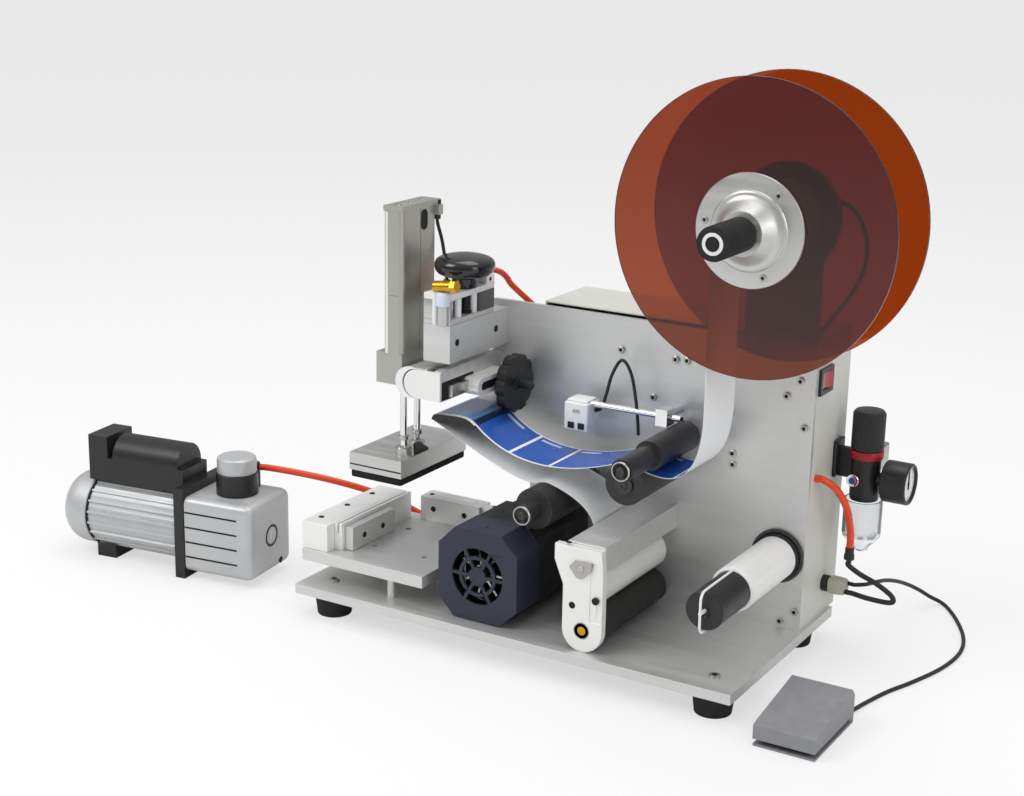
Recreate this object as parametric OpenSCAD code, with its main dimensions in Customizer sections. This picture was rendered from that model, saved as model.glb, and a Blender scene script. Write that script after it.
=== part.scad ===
/* [Base] */
// Width of the base plate
base_w = 474; // [468:1:520]
// Depth of the base plate
base_d = 242; // [238:1:280]
// Thickness of the base plate
base_t = 10; // [8:0.5:14]
// Diameter of a rubber foot at its top
foot_d = 40; // [30:1:44]
// Height of a rubber foot
foot_h = 23.5; // [18:0.5:32]
// Distance of a foot's centre from the plate's side and front edges
foot_inset = 28; // [24:1:40]

/* [Panel and cover] */
// Width of the upright front panel
panel_w = 344.5; // [342:0.5:348]
// Height of the panel beside its tab
panel_h = 278; // [274:1:280]
// Thickness of the panel
panel_t = 5; // [4:0.5:6]
// Distance of the panel's front face from the base's front edge
panel_y = 167; // [166:0.5:168]
// Gap between the panel's right edge and the base's right edge
panel_gap = 4; // [2:0.5:8]
// Width of the tab that carries the reel
tab_w = 72; // [66:1:80]
// Width of the rear cover
cover_w = 288; // [280:1:300]
// Depth of the rear cover
cover_d = 83; // [80:1:90]
// Height of the rear cover
cover_h = 282; // [281:1:290]
// Sheet thickness of the rear cover
cover_t = 1.5; // [1:0.25:2]

/* [Label reel] */
// Diameter of the two amber discs
disc_d = 260; // [200:2:266]
// Thickness of a disc
disc_t = 3; // [2:0.5:4]
// Distance of the front disc's face from the base's front edge
disc_y = 65; // [63:0.5:66]
// Clear width between the discs
disc_gap = 77; // [75:0.5:79]
// Height of the reel's axis over the base plate
reel_z = 395.5; // [390:0.5:400]
// Distance of the reel's axis from the panel's right edge
reel_inset = 29.4; // [27:0.2:32]
// Diameter of the reel's steel shaft
reel_shaft_d = 20; // [16:1:22]
// Diameter of the rubber lock sleeve on the shaft
sleeve_d = 30; // [26:1:34]
// Diameter of the aluminium flanges
flange_d = 100; // [90:1:110]
// Diameter of the hub barrel under the label core
barrel_d = 50; // [44:1:52]
// Outer diameter of the label roll
roll_d = 74; // [66:1:76]

/* [Label web] */
// Width of the label web
web_w = 66; // [50:1:68]
// Distance of the web's front edge from the base's front edge
web_y = 72; // [71:0.5:74]
// Thickness of the web
web_t = 0.4; // [0.3:0.05:0.6]

/* [Guide rollers] */
// Diameter of the upper guide roller's wide part
roller_a_d = 29; // [26:0.5:29.5]
// Diameter of the upper guide roller's slim part
roller_a_slim_d = 22; // [18:0.5:25]
// Diameter of the lower guide rollers
roller_b_d = 40; // [38:0.5:40.5]
// Diameter of a guide roller's fixed shaft
guide_shaft_d = 8; // [6:0.5:10]

/* [Drive] */
// Width of the motor's fan cover
motor_w = 87; // [82:1:90]
// Height of the motor's fan cover
motor_h = 90; // [86:1:91]
// Depth of the motor's fan cover
motor_cover_d = 42; // [38:1:46]
// Diameter of the cover's round grille
grille_d = 56; // [44:1:60]
// Diameter of the rubber drive roller
rubber_d = 35; // [34:0.2:35.2]
// Diameter of the steel pressure roller
pinch_d = 37; // [36:0.2:37.2]
// Diameter of the drive roller's shaft
drive_shaft_d = 12; // [9:0.5:13]
// Thickness of the traction head's end plate
end_plate_t = 8; // [6:0.5:9]
// Diameter of the rewind mandrel
mandrel_d = 36; // [32:0.5:38]
// Outer diameter of the wound liner
liner_d = 42; // [40:0.5:46]

/* [Head] */
// Width of the fixed upper arm
arm_w = 30; // [28:0.5:32]
// Height of the fixed upper arm
arm_h = 37; // [33:0.5:38]
// Height of the moving lower arm
lower_arm_h = 30; // [28:0.5:31]
// Diameter of the handwheel on the lift screw
handwheel_d = 59; // [50:1:60]
// Diameter of the clamping star wheel
star_d = 58; // [48:1:58]
// Diameter of a guide rod of the lift
lift_rod_d = 8; // [6:0.5:9]
// Width of the press cylinder's body
column_w = 20; // [18:0.5:22]
// Depth of the press cylinder's body
column_d = 56; // [52:1:58]
// Height of the press cylinder's body
column_h = 141; // [120:1:180]

/* [Press pad] */
// Width of the press pad
pad_w = 62; // [50:1:70]
// Depth of the press pad
pad_d = 119; // [80:1:126]
// Thickness of the pad's metal plate
pad_t = 18; // [12:1:19]
// Thickness of the foam under the plate
foam_t = 8; // [4:0.5:10]
// Diameter of a push rod
push_rod_d = 7; // [6:0.5:10]

/* [Fixture] */
// Width of the fixture plate
fixture_w = 144; // [140:1:148]
// Depth of the fixture plate
fixture_d = 152; // [150:1:156]
// Thickness of the fixture plate
fixture_t = 12; // [8:0.5:13]
// Height of the fixture plate's underside over the base
fixture_lift = 22; // [14:1:23]
// Height of the outer fence over the fixture plate
fence_h = 28; // [20:0.5:29]
// Distance between the jig holes
jig_pitch = 60; // [40:1:62]
// Diameter of a jig hole
jig_hole_d = 6; // [4:0.5:7]

/* [Air and power] */
// Diameter of the regulator's body
regulator_d = 28; // [24:0.5:30]
// Diameter of the clear water bowl
bowl_d = 37; // [32:0.5:40]
// Diameter of the pressure gauge
gauge_d = 40; // [34:1:44]
// Outer diameter of the air hoses
hose_d = 7; // [6:0.5:8]
// Diameter of the black cables
cable_d = 4; // [3.5:0.5:5]

/* [Foot pedal] */
// Width of the foot pedal
pedal_w = 57; // [50:1:70]
// Depth of the foot pedal
pedal_d = 92; // [80:1:110]

/* [Vacuum pump] */
// Length of the pump's oil box
oil_box_l = 81.5; // [76:0.5:90]
// Depth of the pump's oil box
oil_box_d = 81; // [76:1:88]
// Height of the pump's oil box
oil_box_h = 81; // [74:1:84]
// Diameter of the pump's motor
pump_motor_d = 80; // [70:1:81]
// Length of the pump's motor
pump_motor_l = 112; // [100:1:130]

/* [Hidden] */
$fn = 64;

// Overrun of every cut, running clearance on a radius, and gap of parts that pass
over = 1;
fit = 0.05;
gap = 0.3;

// Places that follow from the base, the panel and the cover
base_top = foot_h + base_t;
panel_right = base_w - panel_gap;
panel_left = panel_right - panel_w;
panel_back = panel_y + panel_t;
// Cut in the panel's lower left corner, where goods pass
panel_notch = [46.5, 120];
cover_left = panel_right - cover_w;
cover_back = panel_back + cover_d;
reel_x = panel_right - reel_inset;
foot_taper_share = 0.85;
screw_d = 4;
screw_head_d = 7;
screw_head_h = 2.5;
foot_screw_d = 5;
foot_screw_grip = 12;
// Panel screws as shares of the panel's width and height
screw_shares = [[0.591, 0.881], [0.626, 0.883], [0.527, 0.734], [0.422, 0.885],
  [0.959, 0.874], [0.922, 0.817], [0.977, 0.716], [0.775, 0.586], [0.777, 0.547],
  [0.983, 0.065], [0.942, 0.022]];
feet = [for (x = [foot_inset, base_w - foot_inset], y = [foot_inset, base_d - foot_inset]) [x, y]];

// Reel: lengths along its axis
sleeve_reach = 76;
sleeve_len = 56;
sleeve_front = disc_y - sleeve_reach;
sleeve_back = sleeve_front + sleeve_len;
cone_base_d = 60;
cone_tip_d = 40;
flange_t = 3;
rear_disc_y = disc_y + disc_t + disc_gap;
rear_flange_t = 8;
shaft_tail = 12;
reel_end_y = panel_back + shaft_tail;
collar_d = 34;
collar_t = 6;
hex_af = 11;
hex_depth = 10;
bearing_d = 56;
roll_y = web_y;

// Guide rollers: axes, lengths along them and the web's turns
ax_a = [349, 176];
ax_b = [244, 111.5];
ax_c = [328, 146];
roller_front = [22, 30, 70];
roller_back = 155;
roller_b_back = 150;
roller_a_step = 75;
roller_b_step = 50;
roller_b_slim_d = 19;
washer_t = 2;
washer_d = 18;
shoulder_d = 16;

// Web route
ride = gap + web_t / 2;
peel_tip = [114.4, 173.2];
peel_foot = [165, 175];
peel_crest_z = 180.6;
peel_flat = [130, 122];
peel_back = 19;
peel_nose = 6;
peel_t = 1.2;
peel_bar_t = 8;
web_x = reel_x - roll_d / 2 - ride;

// Motor and traction head
motor_axis = [203.5, 46];
motor_front = 16;
motor_chamfer = 18;
grille_ring = [0.72, 0.6];
body_inset = 4;
gearbox_inset = 7;
gearbox_y = 120;
motor_wall = 3;
motor_shaft_d = 8;
fan_d = 50;
fan_hub_d = 18;
fan_front = 26;
fan_t = 12;
blade_t = 2;
blades = 7;
output_shaft_d = 10;
pulley_d = 30;
pulley_t = 8;
belt_t = 2;
belt_gap = gap;
belt_clear = 6;
pulley_gap = 3;
belt_y = panel_back + belt_clear;
belt_pitch = pulley_t + pulley_gap;
drive_axis = [320, 20.5];
pinch_axis = [317, 57.3];
rewind_axis = [444, 71];
head_front = 10;
roller_len = 132;
block_left = 299.2;
block_w = 39;
block_z = 78;
block_h = 24;
end_top_left = 290;
end_round = 20.5;
end_neck = 15;
end_waist = 38;
end_hole_d = 6;
end_hole = [309.5, 43.5];
strip_w = 12;
strip_t = 1;
pinch_shaft_d = 8;
rewind_shaft_d = 14;
mandrel_front = 2;
mandrel_back = 160;
rewind_flange_d = 46;
rewind_flange_t = 6;
ring_d = 52;
ring_t = 4;
liner_front = 60;
clip_d = 2.4;
clip_front = -6;

// Sensor
sensor_lo = [232, 125, 170];
sensor_size = [26, 25, 28];
bar_axis = [135, 197];
bar_d = 6;
bar_end = 352;
clamp_x = 329;
clamp_size = [12, 16, 16];
post_d = 8;

// Head
arm_left = 113.5;
arm_front = 58;
arm_z = 235;
lift_z = arm_z + arm_h;
lift_h = 30;
lift_d = 80;
lift_wall = 5;
lift_pocket_x = 120;
rod_x = 128;
rod_ys = [86, 116];
rail_wide = 14;
rail_foot_t = 3;
rail_len = 90;
rail_front = 60;
rail_z = 222;
lower_z = 199;
lower_left = 90;
lower_right = 140;
lower_front = 49;
lower_back = 158;
lug_size = [16, 50, 16];
lug_lo = [140, 106, 197];
star_axis = [134, 204.5];
star_x = 165.5;
star_t = 10;
star_boss_d = 20;
star_lobes = 10;
star_lobe_d = 9;
star_screw_d = 8;
star_stub = 16;
knob_axis = [133, 100];
knob_hub_d = 25;
knob_hub_h = 10;
wheel_h = 23;
// Handwheel outline as shares of its radius and height
wheel_shares = [[0.8, 0.16], [0.97, 0.37], [1, 0.52], [0.96, 0.73], [0.8, 0.86], [0.5, 1]];
lift_screw_d = 8;
screw_reach = 50;
bracket_size = [15, 14, 9];
fitting_d = 9;
fitting_z = lift_z + lift_h - fitting_d;

// Press cylinder and pad
column_x = 70;
column_y = 56;
column_z = 236;
column_round = 6;
column_line_up = 58;
column_line_z = column_z + column_line_up;
column_seam_in = 31;
column_seam_y = column_y + column_seam_in;
guide_h = 30;
guide_w = 30;
cap_t = 4;
cap_over = 9;
groove = 0.8;
rod_line_x = 80;
push_ys = [74, 98];
rod_top = 300;
pad_x = 30;
pad_y = 52;
foam_z = 104;
pad_z = foam_z + foam_t;
rod_sink = 12;
boss_d = 16;
boss_h = 8;
port_d = 9;

// Fixture
fixture_y = 12;
fixture_top = fixture_lift + fixture_t;
jig_centre = [86.4, 88];
post_places = [[100, 24], [20, 112], [70, 140], [126, 140]];
fixture_post_d = 8;
outer_lo = [-2, 15];
outer_w = 31;
fence_back = 150;
strip_lo = [29.2, 27];
strip_size_x = 9;
slot_w = 2;
slot_deep = 10;
inner_lo = [38.5, 32];
inner_size = [9.5, 74, 24];
back_lo = [50, 150];
back_size = [72, 24, 26];
end_round_d = 16;

// Air set and power
reg_x = 500;
reg_y = 235;
reg_z = 119;
reg_h = 49;
reg_knob_h = 39;
reg_knob_d = 31;
bowl_h = 37;
bowl_tip_h = 14;
bowl_tip_d = 14;
bowl_wall = 2;
reg_bracket_t = 9;
reg_bracket_z = [138, 168];
gauge_x = 520;
gauge_t = 25;
gauge_z = 141;
gauge_neck_d = 12;
gauge_rim = 3;
gauge_recess = 3;
needle_pin_d = 3;
needle_w = 1.6;
needle_t = 0.8;
fitting_len = 12;
valve_size = [18, 30, 24];
valve_z = 143;
lever_stem_d = 5;
lever_h = 29;
ball_d = 13;
lever_at = [reg_x, reg_y + regulator_d / 3 + valve_size[1] / 2 + over];
switch_gap = 2;
switch_drop = 53;
switch_lo = [panel_back + switch_gap, cover_h - switch_drop];
switch_size = [31, 25];
bezel_t = 3;
bezel_wall = 2.2;
switch_deep = 9;
rocker_t = 8;
rocker_pin_d = 3;
socket_place = [222.5, 31];
socket_d = 16;
socket_t = 6;
socket_bore_d = 9;
plug_len = 24;

// Pedal, pump and inside units
pedal_lo = [503, -16];
pedal_plate_t = 2;
pedal_front_h = 20;
pedal_back_h = 34;
pedal_wall = 3;
pedal_lift = 7;
pedal_pin = [66, -20];
pedal_pin_d = 4;
floor_z = -base_top;
pump_x = -156;
pump_y = 14;
pump_turn = 7.3;
pump_wall = 12;
pump_rise = 8.5;
pump_axis = [40, 15];
pump_fins = 20;
pump_fin_h = 2;
pump_bell_l = 42;
pump_box_l = 118;
pump_box_w = 46;
box_low = 26;
box_arch = [30, 82];
box_post = [24, 50];
bell_end_d = 48;
groove_len = 65;
neck_d = 44;
neck_h = 24;
cap_h = 17;
sight_d = 20;
inlet_at = [44, 70];
inlet_d = 12;
inlet_z = 82;
supply_size = [110, 36, 60];
board_size = [90, 36, 44];
valve_box = [40, 26, 30];

// Cord and hose routes, points chosen by hand
sensor_points = [[258.3, 141, 190], [264, 141, 192], [269, 141, 206], [275, 141, 228],
  [285, 141, 243], [295, 141, 231], [301, 141, 206], [304, 141, 184], [305, 141, 172]];
column_points = [[90, 117, 366], [90, 117, 358], [94, 119, 341], [98, 118, 325],
  [102, 115, 314], [106, 110, 303.5]];
side_points = [[470.3, 182, 148], [474, 182, 148], [478, 182, 148], [489, 190, 138],
  [496, 201, 118], [498, 209, 96], [498, 212, 84], [498, 212, 80], [498, 212, 76.3]];
lead_points = [[498, 212, 63.7], [498, 212, 61], [498, 212, 58], [508, 216, 50], [524, 220, 42],
  [538, 222, 33], [541, 222, 27], [534, 221, 25], [516, 219, 26], [502, 218, 28],
  [498, 218, 28], [494.3, 218, 28]];
reel_points = [[467.5, 161, 407], [476, 161, 411], [490, 161, 411], [503, 161, 400],
  [511, 161, 382], [512, 161, 364], [506, 161, 342], [494, 163, 322], [482, 167, 306],
  [474, 175, 295], [467, 180, 289], [466, 182, 286], [466, 182, 282.3]];
head_points = [[105, 116.2, 297.5], [105, 124, 298], [107, 135, 301], [114, 146, 306],
  [127, 153, 309.5], [138, 156, 308.5], [142, 163, 302], [144, 168, 295], [149, 175, 286.5],
  [156, 181, 278], [163, 186, 270], [171, 190, 264], [178, 192, 262], [184, 192, 262]];
pedal_points = [[494.3, 226, 34], [497, 226, 34], [501, 226, 34], [509, 236, 33], [512, 262, 28],
  [512, 290, 20], [514, 318, 10], [517, 345, -2], [522, 365, -13], [530, 380, -24],
  [540, 386, -30], [552, 375, -31.5], [568, 350, -31.5], [584, 318, -31.5],
  [593, 288, -31.5], [595, 258, -31.5], [590, 222, -31.5], [578, 182, -31.5],
  [566, 150, -31.5], [558, 120, -31.5], [554, 96, -30.5], [553, 84, -29.5], [553, 79.3, -29.5]];
pump_points = [[-115, 91, 77], [-104, 94, 77], [-77, 107, 73], [-45, 124, 66],
  [-16, 147, 54], [8, 168, 40], [32, 184, 24], [60, 194, 10], [95, 200, 5],
  [130, 204, 5], [160, 206, 8], [181, 206, 12]];

// Helper functions
function unit(v) = v / norm(v);
function curve(a, b, c, d, t) =
  0.5 * (2 * b + (c - a) * t + (2 * a - 5 * b + 4 * c - d) * t * t
  + (3 * b - a - 3 * c + d) * t * t * t);
function smooth(p, n) = concat([for (i = [0:len(p) - 2], k = [0:n - 1])
  curve(p[max(i - 1, 0)], p[i], p[i + 1], p[min(i + 2, len(p) - 1)], k / n)],
  [p[len(p) - 1]]);
function heading(p, i) = unit(p[min(i + 1, len(p) - 1)] - p[max(i - 1, 0)]);
function bezier(a, b, c, d, n) = [for (k = [0:n]) let (t = k / n, s = 1 - t)
  s * s * s * a + 3 * s * s * t * b + 3 * s * t * t * c + t * t * t * d];
function turn(c, r, a0, a1, n) = [for (k = [0:n]) let (a = a0 + (a1 - a0) * k / n)
  c + r * [cos(a), sin(a)]];
function aim(a, l) = l * [cos(a), sin(a)];
function side_of(p, s) = [for (i = [0:len(p) - 1]) let (h = heading(p, i))
  p[i] + s * [-h[1], h[0]]];
function back_to_front(p) = [for (i = [len(p) - 1:-1:0]) p[i]];

// The web's centre line, from the label roll to the peel tip and back to the nip
angle_ca = atan2(ax_a[1] - ax_c[1], ax_a[0] - ax_c[0])
  + acos((roller_a_d / 2 + roller_b_d / 2 + 2 * ride) / norm(ax_a - ax_c));
peel_slope = 139;
leave_a = 256;
meet_c = 112;
run_a = roller_a_d / 2 + ride;
run_b = roller_b_d / 2 + ride;
run_p = pinch_d / 2 + ride;
from_a = ax_a + aim(leave_a, run_a);
from_c = ax_c + aim(meet_c, run_b);
roll_drop = 49;
drop_z = ax_a[1] + roll_drop;
sag_out = 62;
sag_in = 53;
bend_out = 22;
bend_in = 75;
roll_leg = bezier([web_x, drop_z], [web_x, drop_z - bend_in],
  from_a + aim(leave_a + 90, bend_out), from_a, 14);
sag_leg = bezier(from_c, from_c + aim(meet_c + 90, sag_out),
  peel_foot + aim(peel_slope - 180, sag_in), peel_foot, 18);
peel_leg = concat(
  bezier(peel_foot, peel_foot + aim(peel_slope, sag_in / 4),
    [peel_foot[0] - peel_back, peel_crest_z], [peel_flat[0], peel_crest_z], 6),
  bezier([peel_flat[0], peel_crest_z], [peel_flat[1], peel_crest_z],
    peel_tip + [0, peel_nose], peel_tip, 5));
tip_r = 0.7;
peel_under = peel_tip + [tip_r, -tip_r];
leave_b = 75;
meet_b = 112;
on_b = ax_b + aim(meet_b, run_b);
off_b = ax_b + aim(leave_b, run_b);
pinch_x = pinch_axis[0] - run_p;
liner_leg = bezier(peel_under + [tip_r, 0], peel_under + aim(-25, sag_out),
  on_b + aim(meet_b + 90, sag_out / 3), on_b, 12);
down_leg = bezier(off_b, off_b + aim(leave_b - 90, sag_in / 2),
  [pinch_x, block_z + block_h + bend_out / 2], [pinch_x, block_z + block_h / 2], 10);
nip_end = 262;
web_line = concat([[web_x, reel_z]], roll_leg,
  turn(ax_a, run_a, leave_a - 3, angle_ca + 180, 2),
  turn(ax_c, run_b, angle_ca, meet_c, 6), [for (i = [1:18]) sag_leg[i]],
  [for (i = [1:len(peel_leg) - 1]) if (i != 7) peel_leg[i]],
  [peel_under], liner_leg, turn(ax_b, run_b, meet_b - 6, leave_b, 5),
  [for (i = [1:10]) down_leg[i]], turn(pinch_axis, run_p, 180, nip_end, 8));

// Helper modules
module from_corner() translate([-foot_inset, -foot_inset, base_top]) children();
module block(lo, hi) translate(lo) cube(hi - lo);
module box(lo, size) translate(lo) cube(size);
module xrod(yz, x0, x1, d) translate([x0, yz[0], yz[1]]) rotate([0, 90, 0]) cylinder(d = d, h = x1 - x0);
module yrod(xz, y0, y1, d) translate([xz[0], y0, xz[1]]) rotate([-90, 0, 0]) cylinder(d = d, h = y1 - y0);
module zrod(xy, z0, z1, d) translate([xy[0], xy[1], z0]) cylinder(d = d, h = z1 - z0);
module xz_plate(y0, y1) translate([0, y1, 0]) rotate([90, 0, 0]) linear_extrude(y1 - y0) children();
module yz_plate(x0, x1) translate([x0, 0, 0]) rotate([90, 0, 90]) linear_extrude(x1 - x0) children();
module tube(p, d, sides, ref) {
  n = len(p);
  rings = [for (i = [0:n - 1]) let (t = heading(p, i), u = unit(cross(ref, t)), v = cross(t, u))
    for (k = [0:sides - 1]) p[i] + d / 2 * (cos(360 * k / sides) * u + sin(360 * k / sides) * v)];
  walls = [for (i = [0:n - 2], k = [0:sides - 1]) let (a = i * sides + k,
    b = i * sides + (k + 1) % sides) each [[a, a + sides, b + sides], [a, b + sides, b]]];
  cap = [for (k = [1:sides - 2]) [0, k, k + 1]];
  last = (n - 1) * sides;
  tail = [for (k = [1:sides - 2]) [last, last + k + 1, last + k]];
  polyhedron(points = rings, faces = concat(cap, tail, walls));
}

module panel_outline() {
  translate([panel_left, panel_notch[1]]) square([panel_w, panel_h - panel_notch[1]]);
  translate([panel_left + panel_notch[0], 0]) square([panel_w - panel_notch[0], panel_h]);
  translate([panel_right - tab_w, 0]) square([tab_w, reel_z]);
  intersection() {
    translate([panel_right - tab_w, reel_z]) square([tab_w, tab_w]);
    translate([panel_right - tab_w / 2, reel_z]) circle(d = tab_w);
  }
}
module panel_screws_at(y0, y1, d) for (s = screw_shares)
  yrod([panel_left + s[0] * panel_w, s[1] * panel_h], y0, y1, d);

module base_plate() from_corner() color("silver") difference() {
  block([0, 0, -base_t], [base_w, base_d, 0]);
  for (f = feet) zrod(f, -base_t - over, over, foot_screw_d + 2 * fit);
}
module rubber_feet() from_corner() color("black") for (f = feet) difference() {
  translate([f[0], f[1], floor_z]) cylinder(d1 = foot_d * foot_taper_share, d2 = foot_d, h = foot_h);
  zrod(f, -base_t - foot_screw_grip - over, -base_t + over, foot_screw_d + 2 * fit);
}
module frame_screws() from_corner() color("gray") {
  for (f = feet) {
    zrod(f, 0, screw_head_h, 2 * foot_screw_d);
    zrod(f, -base_t - foot_screw_grip, over, foot_screw_d);
  }
  panel_screws_at(panel_y - screw_head_h, panel_y, screw_head_d);
  panel_screws_at(panel_y - over, panel_back + screw_head_h, screw_d);
}
module front_panel() from_corner() color("lightgray") difference() {
  xz_plate(panel_y, panel_back) panel_outline();
  panel_screws_at(panel_y - over, panel_back + over, screw_d + 2 * fit);
  yrod([reel_x, reel_z], panel_y - over, panel_back + over, reel_shaft_d + 2 * fit);
  for (a = [ax_a, ax_b, ax_c]) yrod(a, panel_y - over, panel_back + over, guide_shaft_d + 2 * fit);
  yrod(pinch_axis, panel_y - over, panel_back + over, pinch_shaft_d + 2 * fit);
  yrod(drive_axis, panel_y - over, panel_back + over, drive_shaft_d + 2 * fit);
  yrod(rewind_axis, panel_y - over, panel_back + over, rewind_shaft_d + 2 * fit);
  yrod(motor_axis, panel_y - over, panel_back + over, output_shaft_d + 2 * fit);
}
module rear_cover() from_corner() color("lightgray") difference() {
  block([cover_left, panel_back, 0], [panel_right, cover_back, cover_h]);
  block([cover_left + cover_t, panel_back - over, -over],
    [panel_right - cover_t, cover_back - cover_t, cover_h - cover_t]);
  block([panel_right - tab_w - over, panel_back - over, panel_h],
    [panel_right + over, panel_back, cover_h + over]);
  block([panel_right - 2 * over - cover_t, switch_lo[0] + bezel_wall / 2, switch_lo[1] + bezel_wall / 2],
    [panel_right + over, switch_lo[0] + switch_size[0] - bezel_wall / 2,
    switch_lo[1] + switch_size[1] - bezel_wall / 2]);
  xrod([pump_points[11][1], pump_points[11][2]], cover_left - over, cover_left + cover_t + over,
    hose_d + 2 * gap);
  xrod([head_points[13][1], head_points[13][2]], cover_left - over, cover_left + cover_t + over,
    hose_d + 2 * gap);
}
module roller_supports() from_corner() color("silver") {
  for (i = [0:2]) {
    a = [ax_a, ax_b, ax_c][i];
    back = i == 1 ? roller_b_back : roller_back;
    yrod(a, roller_front[i] - gap - washer_t - over, panel_back + over, guide_shaft_d);
    yrod(a, roller_front[i] - gap - washer_t, roller_front[i] - gap, washer_d);
    yrod(a, back + gap, panel_y, shoulder_d);
  }
  difference() {
    yrod([reel_x, reel_z], rear_disc_y + disc_t + rear_flange_t + gap, panel_y, bearing_d);
    yrod([reel_x, reel_z], rear_disc_y, panel_back, reel_shaft_d + 2 * fit);
  }
  difference() {
    yrod(rewind_axis, panel_y - ring_t, panel_y, ring_d);
    yrod(rewind_axis, panel_y - ring_t - over, panel_y + over, rewind_flange_d + 2 * gap);
  }
}
module reel_shaft() from_corner() {
  at = [reel_x, reel_z];
  color("silver") difference() {
    union() {
      yrod(at, sleeve_front + over, reel_end_y, reel_shaft_d);
      yrod(at, panel_back + gap, panel_back + gap + collar_t, collar_d);
    }
    translate([at[0], sleeve_front, at[1]]) rotate([-90, 0, 0])
      cylinder(d = hex_af / cos(30), h = hex_depth, $fn = 6);
  }
  color("black") difference() {
    yrod(at, sleeve_front, sleeve_back, sleeve_d);
    yrod(at, sleeve_front - over, sleeve_back + over, reel_shaft_d + 2 * fit);
  }
}
module reel_flanges() from_corner() color("silver") {
  at = [reel_x, reel_z];
  difference() {
    union() {
      yrod(at, disc_y - flange_t, disc_y, flange_d);
      translate([at[0], sleeve_back, at[1]]) rotate([-90, 0, 0])
        cylinder(d1 = cone_tip_d, d2 = cone_base_d, h = disc_y - flange_t - sleeve_back);
    }
    yrod(at, sleeve_back - over, disc_y + over, reel_shaft_d + 2 * fit);
  }
  difference() {
    union() {
      yrod(at, rear_disc_y + disc_t, rear_disc_y + disc_t + rear_flange_t, flange_d);
      yrod(at, disc_y + disc_t, rear_disc_y + disc_t + over, barrel_d);
    }
    yrod(at, disc_y, panel_y, reel_shaft_d + 2 * fit);
  }
}
module reel_discs() from_corner() color("orangered", 0.6) {
  at = [reel_x, reel_z];
  difference() {
    yrod(at, disc_y, disc_y + disc_t, disc_d);
    yrod(at, disc_y - over, disc_y + disc_t + over, reel_shaft_d + 2 * fit);
  }
  difference() {
    yrod(at, rear_disc_y, rear_disc_y + disc_t, disc_d);
    yrod(at, rear_disc_y - over, rear_disc_y + disc_t + over, barrel_d + 2 * fit);
  }
}
module label_roll() from_corner() color("royalblue") difference() {
  yrod([reel_x, reel_z], roll_y, roll_y + web_w, roll_d);
  yrod([reel_x, reel_z], roll_y - over, roll_y + web_w + over, barrel_d + 2 * fit);
}
module label_web() from_corner() color("royalblue") xz_plate(web_y, web_y + web_w)
  polygon(concat(side_of(web_line, web_t / 2), back_to_front(side_of(web_line, -web_t / 2))));
module peel_plate() from_corner() color([0.12, 0.12, 0.13]) {
  top = side_of(peel_leg, web_t / 2 + fit);
  xz_plate(web_y - 2 * over, panel_y) polygon(concat(
    [for (i = [0:len(top) - 1]) if (i != 7 && top[i][0] > peel_tip[0] + 2 * over) top[i]],
    [[peel_tip[0] + over, peel_tip[1] + over], [peel_tip[0] + over, peel_tip[1] - fit],
    [peel_foot[0], peel_tip[1] - peel_t]]));
}
module roller(axis, y0, step, y1, d_slim, d) difference() {
  union() {
    if (step > y0) yrod(axis, y0, step, d_slim);
    yrod(axis, step, y1, d);
  }
  yrod(axis, y0 - over, y1 + over, guide_shaft_d + 2 * fit);
}
module guide_roller_a() from_corner() color("black")
  roller(ax_a, roller_front[0], roller_a_step, roller_back, roller_a_slim_d, roller_a_d);
module guide_roller_b() from_corner() color("black")
  roller(ax_b, roller_front[1], roller_b_step, roller_b_back, roller_b_slim_d, roller_b_d);
module guide_roller_c() from_corner() color("black")
  roller(ax_c, roller_front[2], roller_front[2], roller_back, roller_b_d, roller_b_d);

module chamfered(w, h, c) polygon([[-w / 2 + c, -h / 2], [w / 2 - c, -h / 2], [w / 2, -h / 2 + c],
  [w / 2, h / 2 - c], [w / 2 - c, h / 2], [-w / 2 + c, h / 2], [-w / 2, h / 2 - c], [-w / 2, -h / 2 + c]]);
module motor_section(w, h, c, y0, y1) xz_plate(y0, y1)
  translate(motor_axis) chamfered(w, h, c);
module motor_cover() from_corner() color([0.2, 0.22, 0.3]) {
  back = motor_front + motor_cover_d;
  difference() {
    motor_section(motor_w, motor_h, motor_chamfer, motor_front, back);
    motor_section(motor_w - 2 * motor_wall, motor_h - 2 * motor_wall, motor_chamfer - motor_wall / 2,
      motor_front + motor_wall, back + over);
    yrod(motor_axis, motor_front - over, motor_front + motor_wall + over, grille_d);
  }
  difference() {
    union() {
      yrod(motor_axis, motor_front, motor_front + motor_wall, grille_d / 3);
      for (a = [0:60:120]) translate([motor_axis[0], 0, motor_axis[1]]) rotate([0, a, 0])
        block([-grille_d / 2 - over, motor_front, -motor_wall / 2],
          [grille_d / 2 + over, motor_front + motor_wall, motor_wall / 2]);
      difference() {
        yrod(motor_axis, motor_front, motor_front + motor_wall, grille_d * grille_ring[0]);
        yrod(motor_axis, motor_front - over, motor_front + motor_wall + over, grille_d * grille_ring[1]);
      }
    }
  }
}
module motor_body() from_corner() color([0.1, 0.1, 0.11]) {
  y0 = motor_front + motor_cover_d;
  difference() {
    union() {
      motor_section(motor_w - 2 * body_inset, motor_h - 2 * body_inset, motor_chamfer / 2, y0, gearbox_y);
      motor_section(motor_w - 2 * gearbox_inset, motor_h - 2 * gearbox_inset, motor_chamfer / 2,
        gearbox_y - over, panel_y);
    }
    yrod(motor_axis, y0 - over, y0 + fan_t, motor_shaft_d + 2 * fit);
    yrod(motor_axis, gearbox_y, panel_y + over, output_shaft_d + 2 * fit);
  }
}
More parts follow.
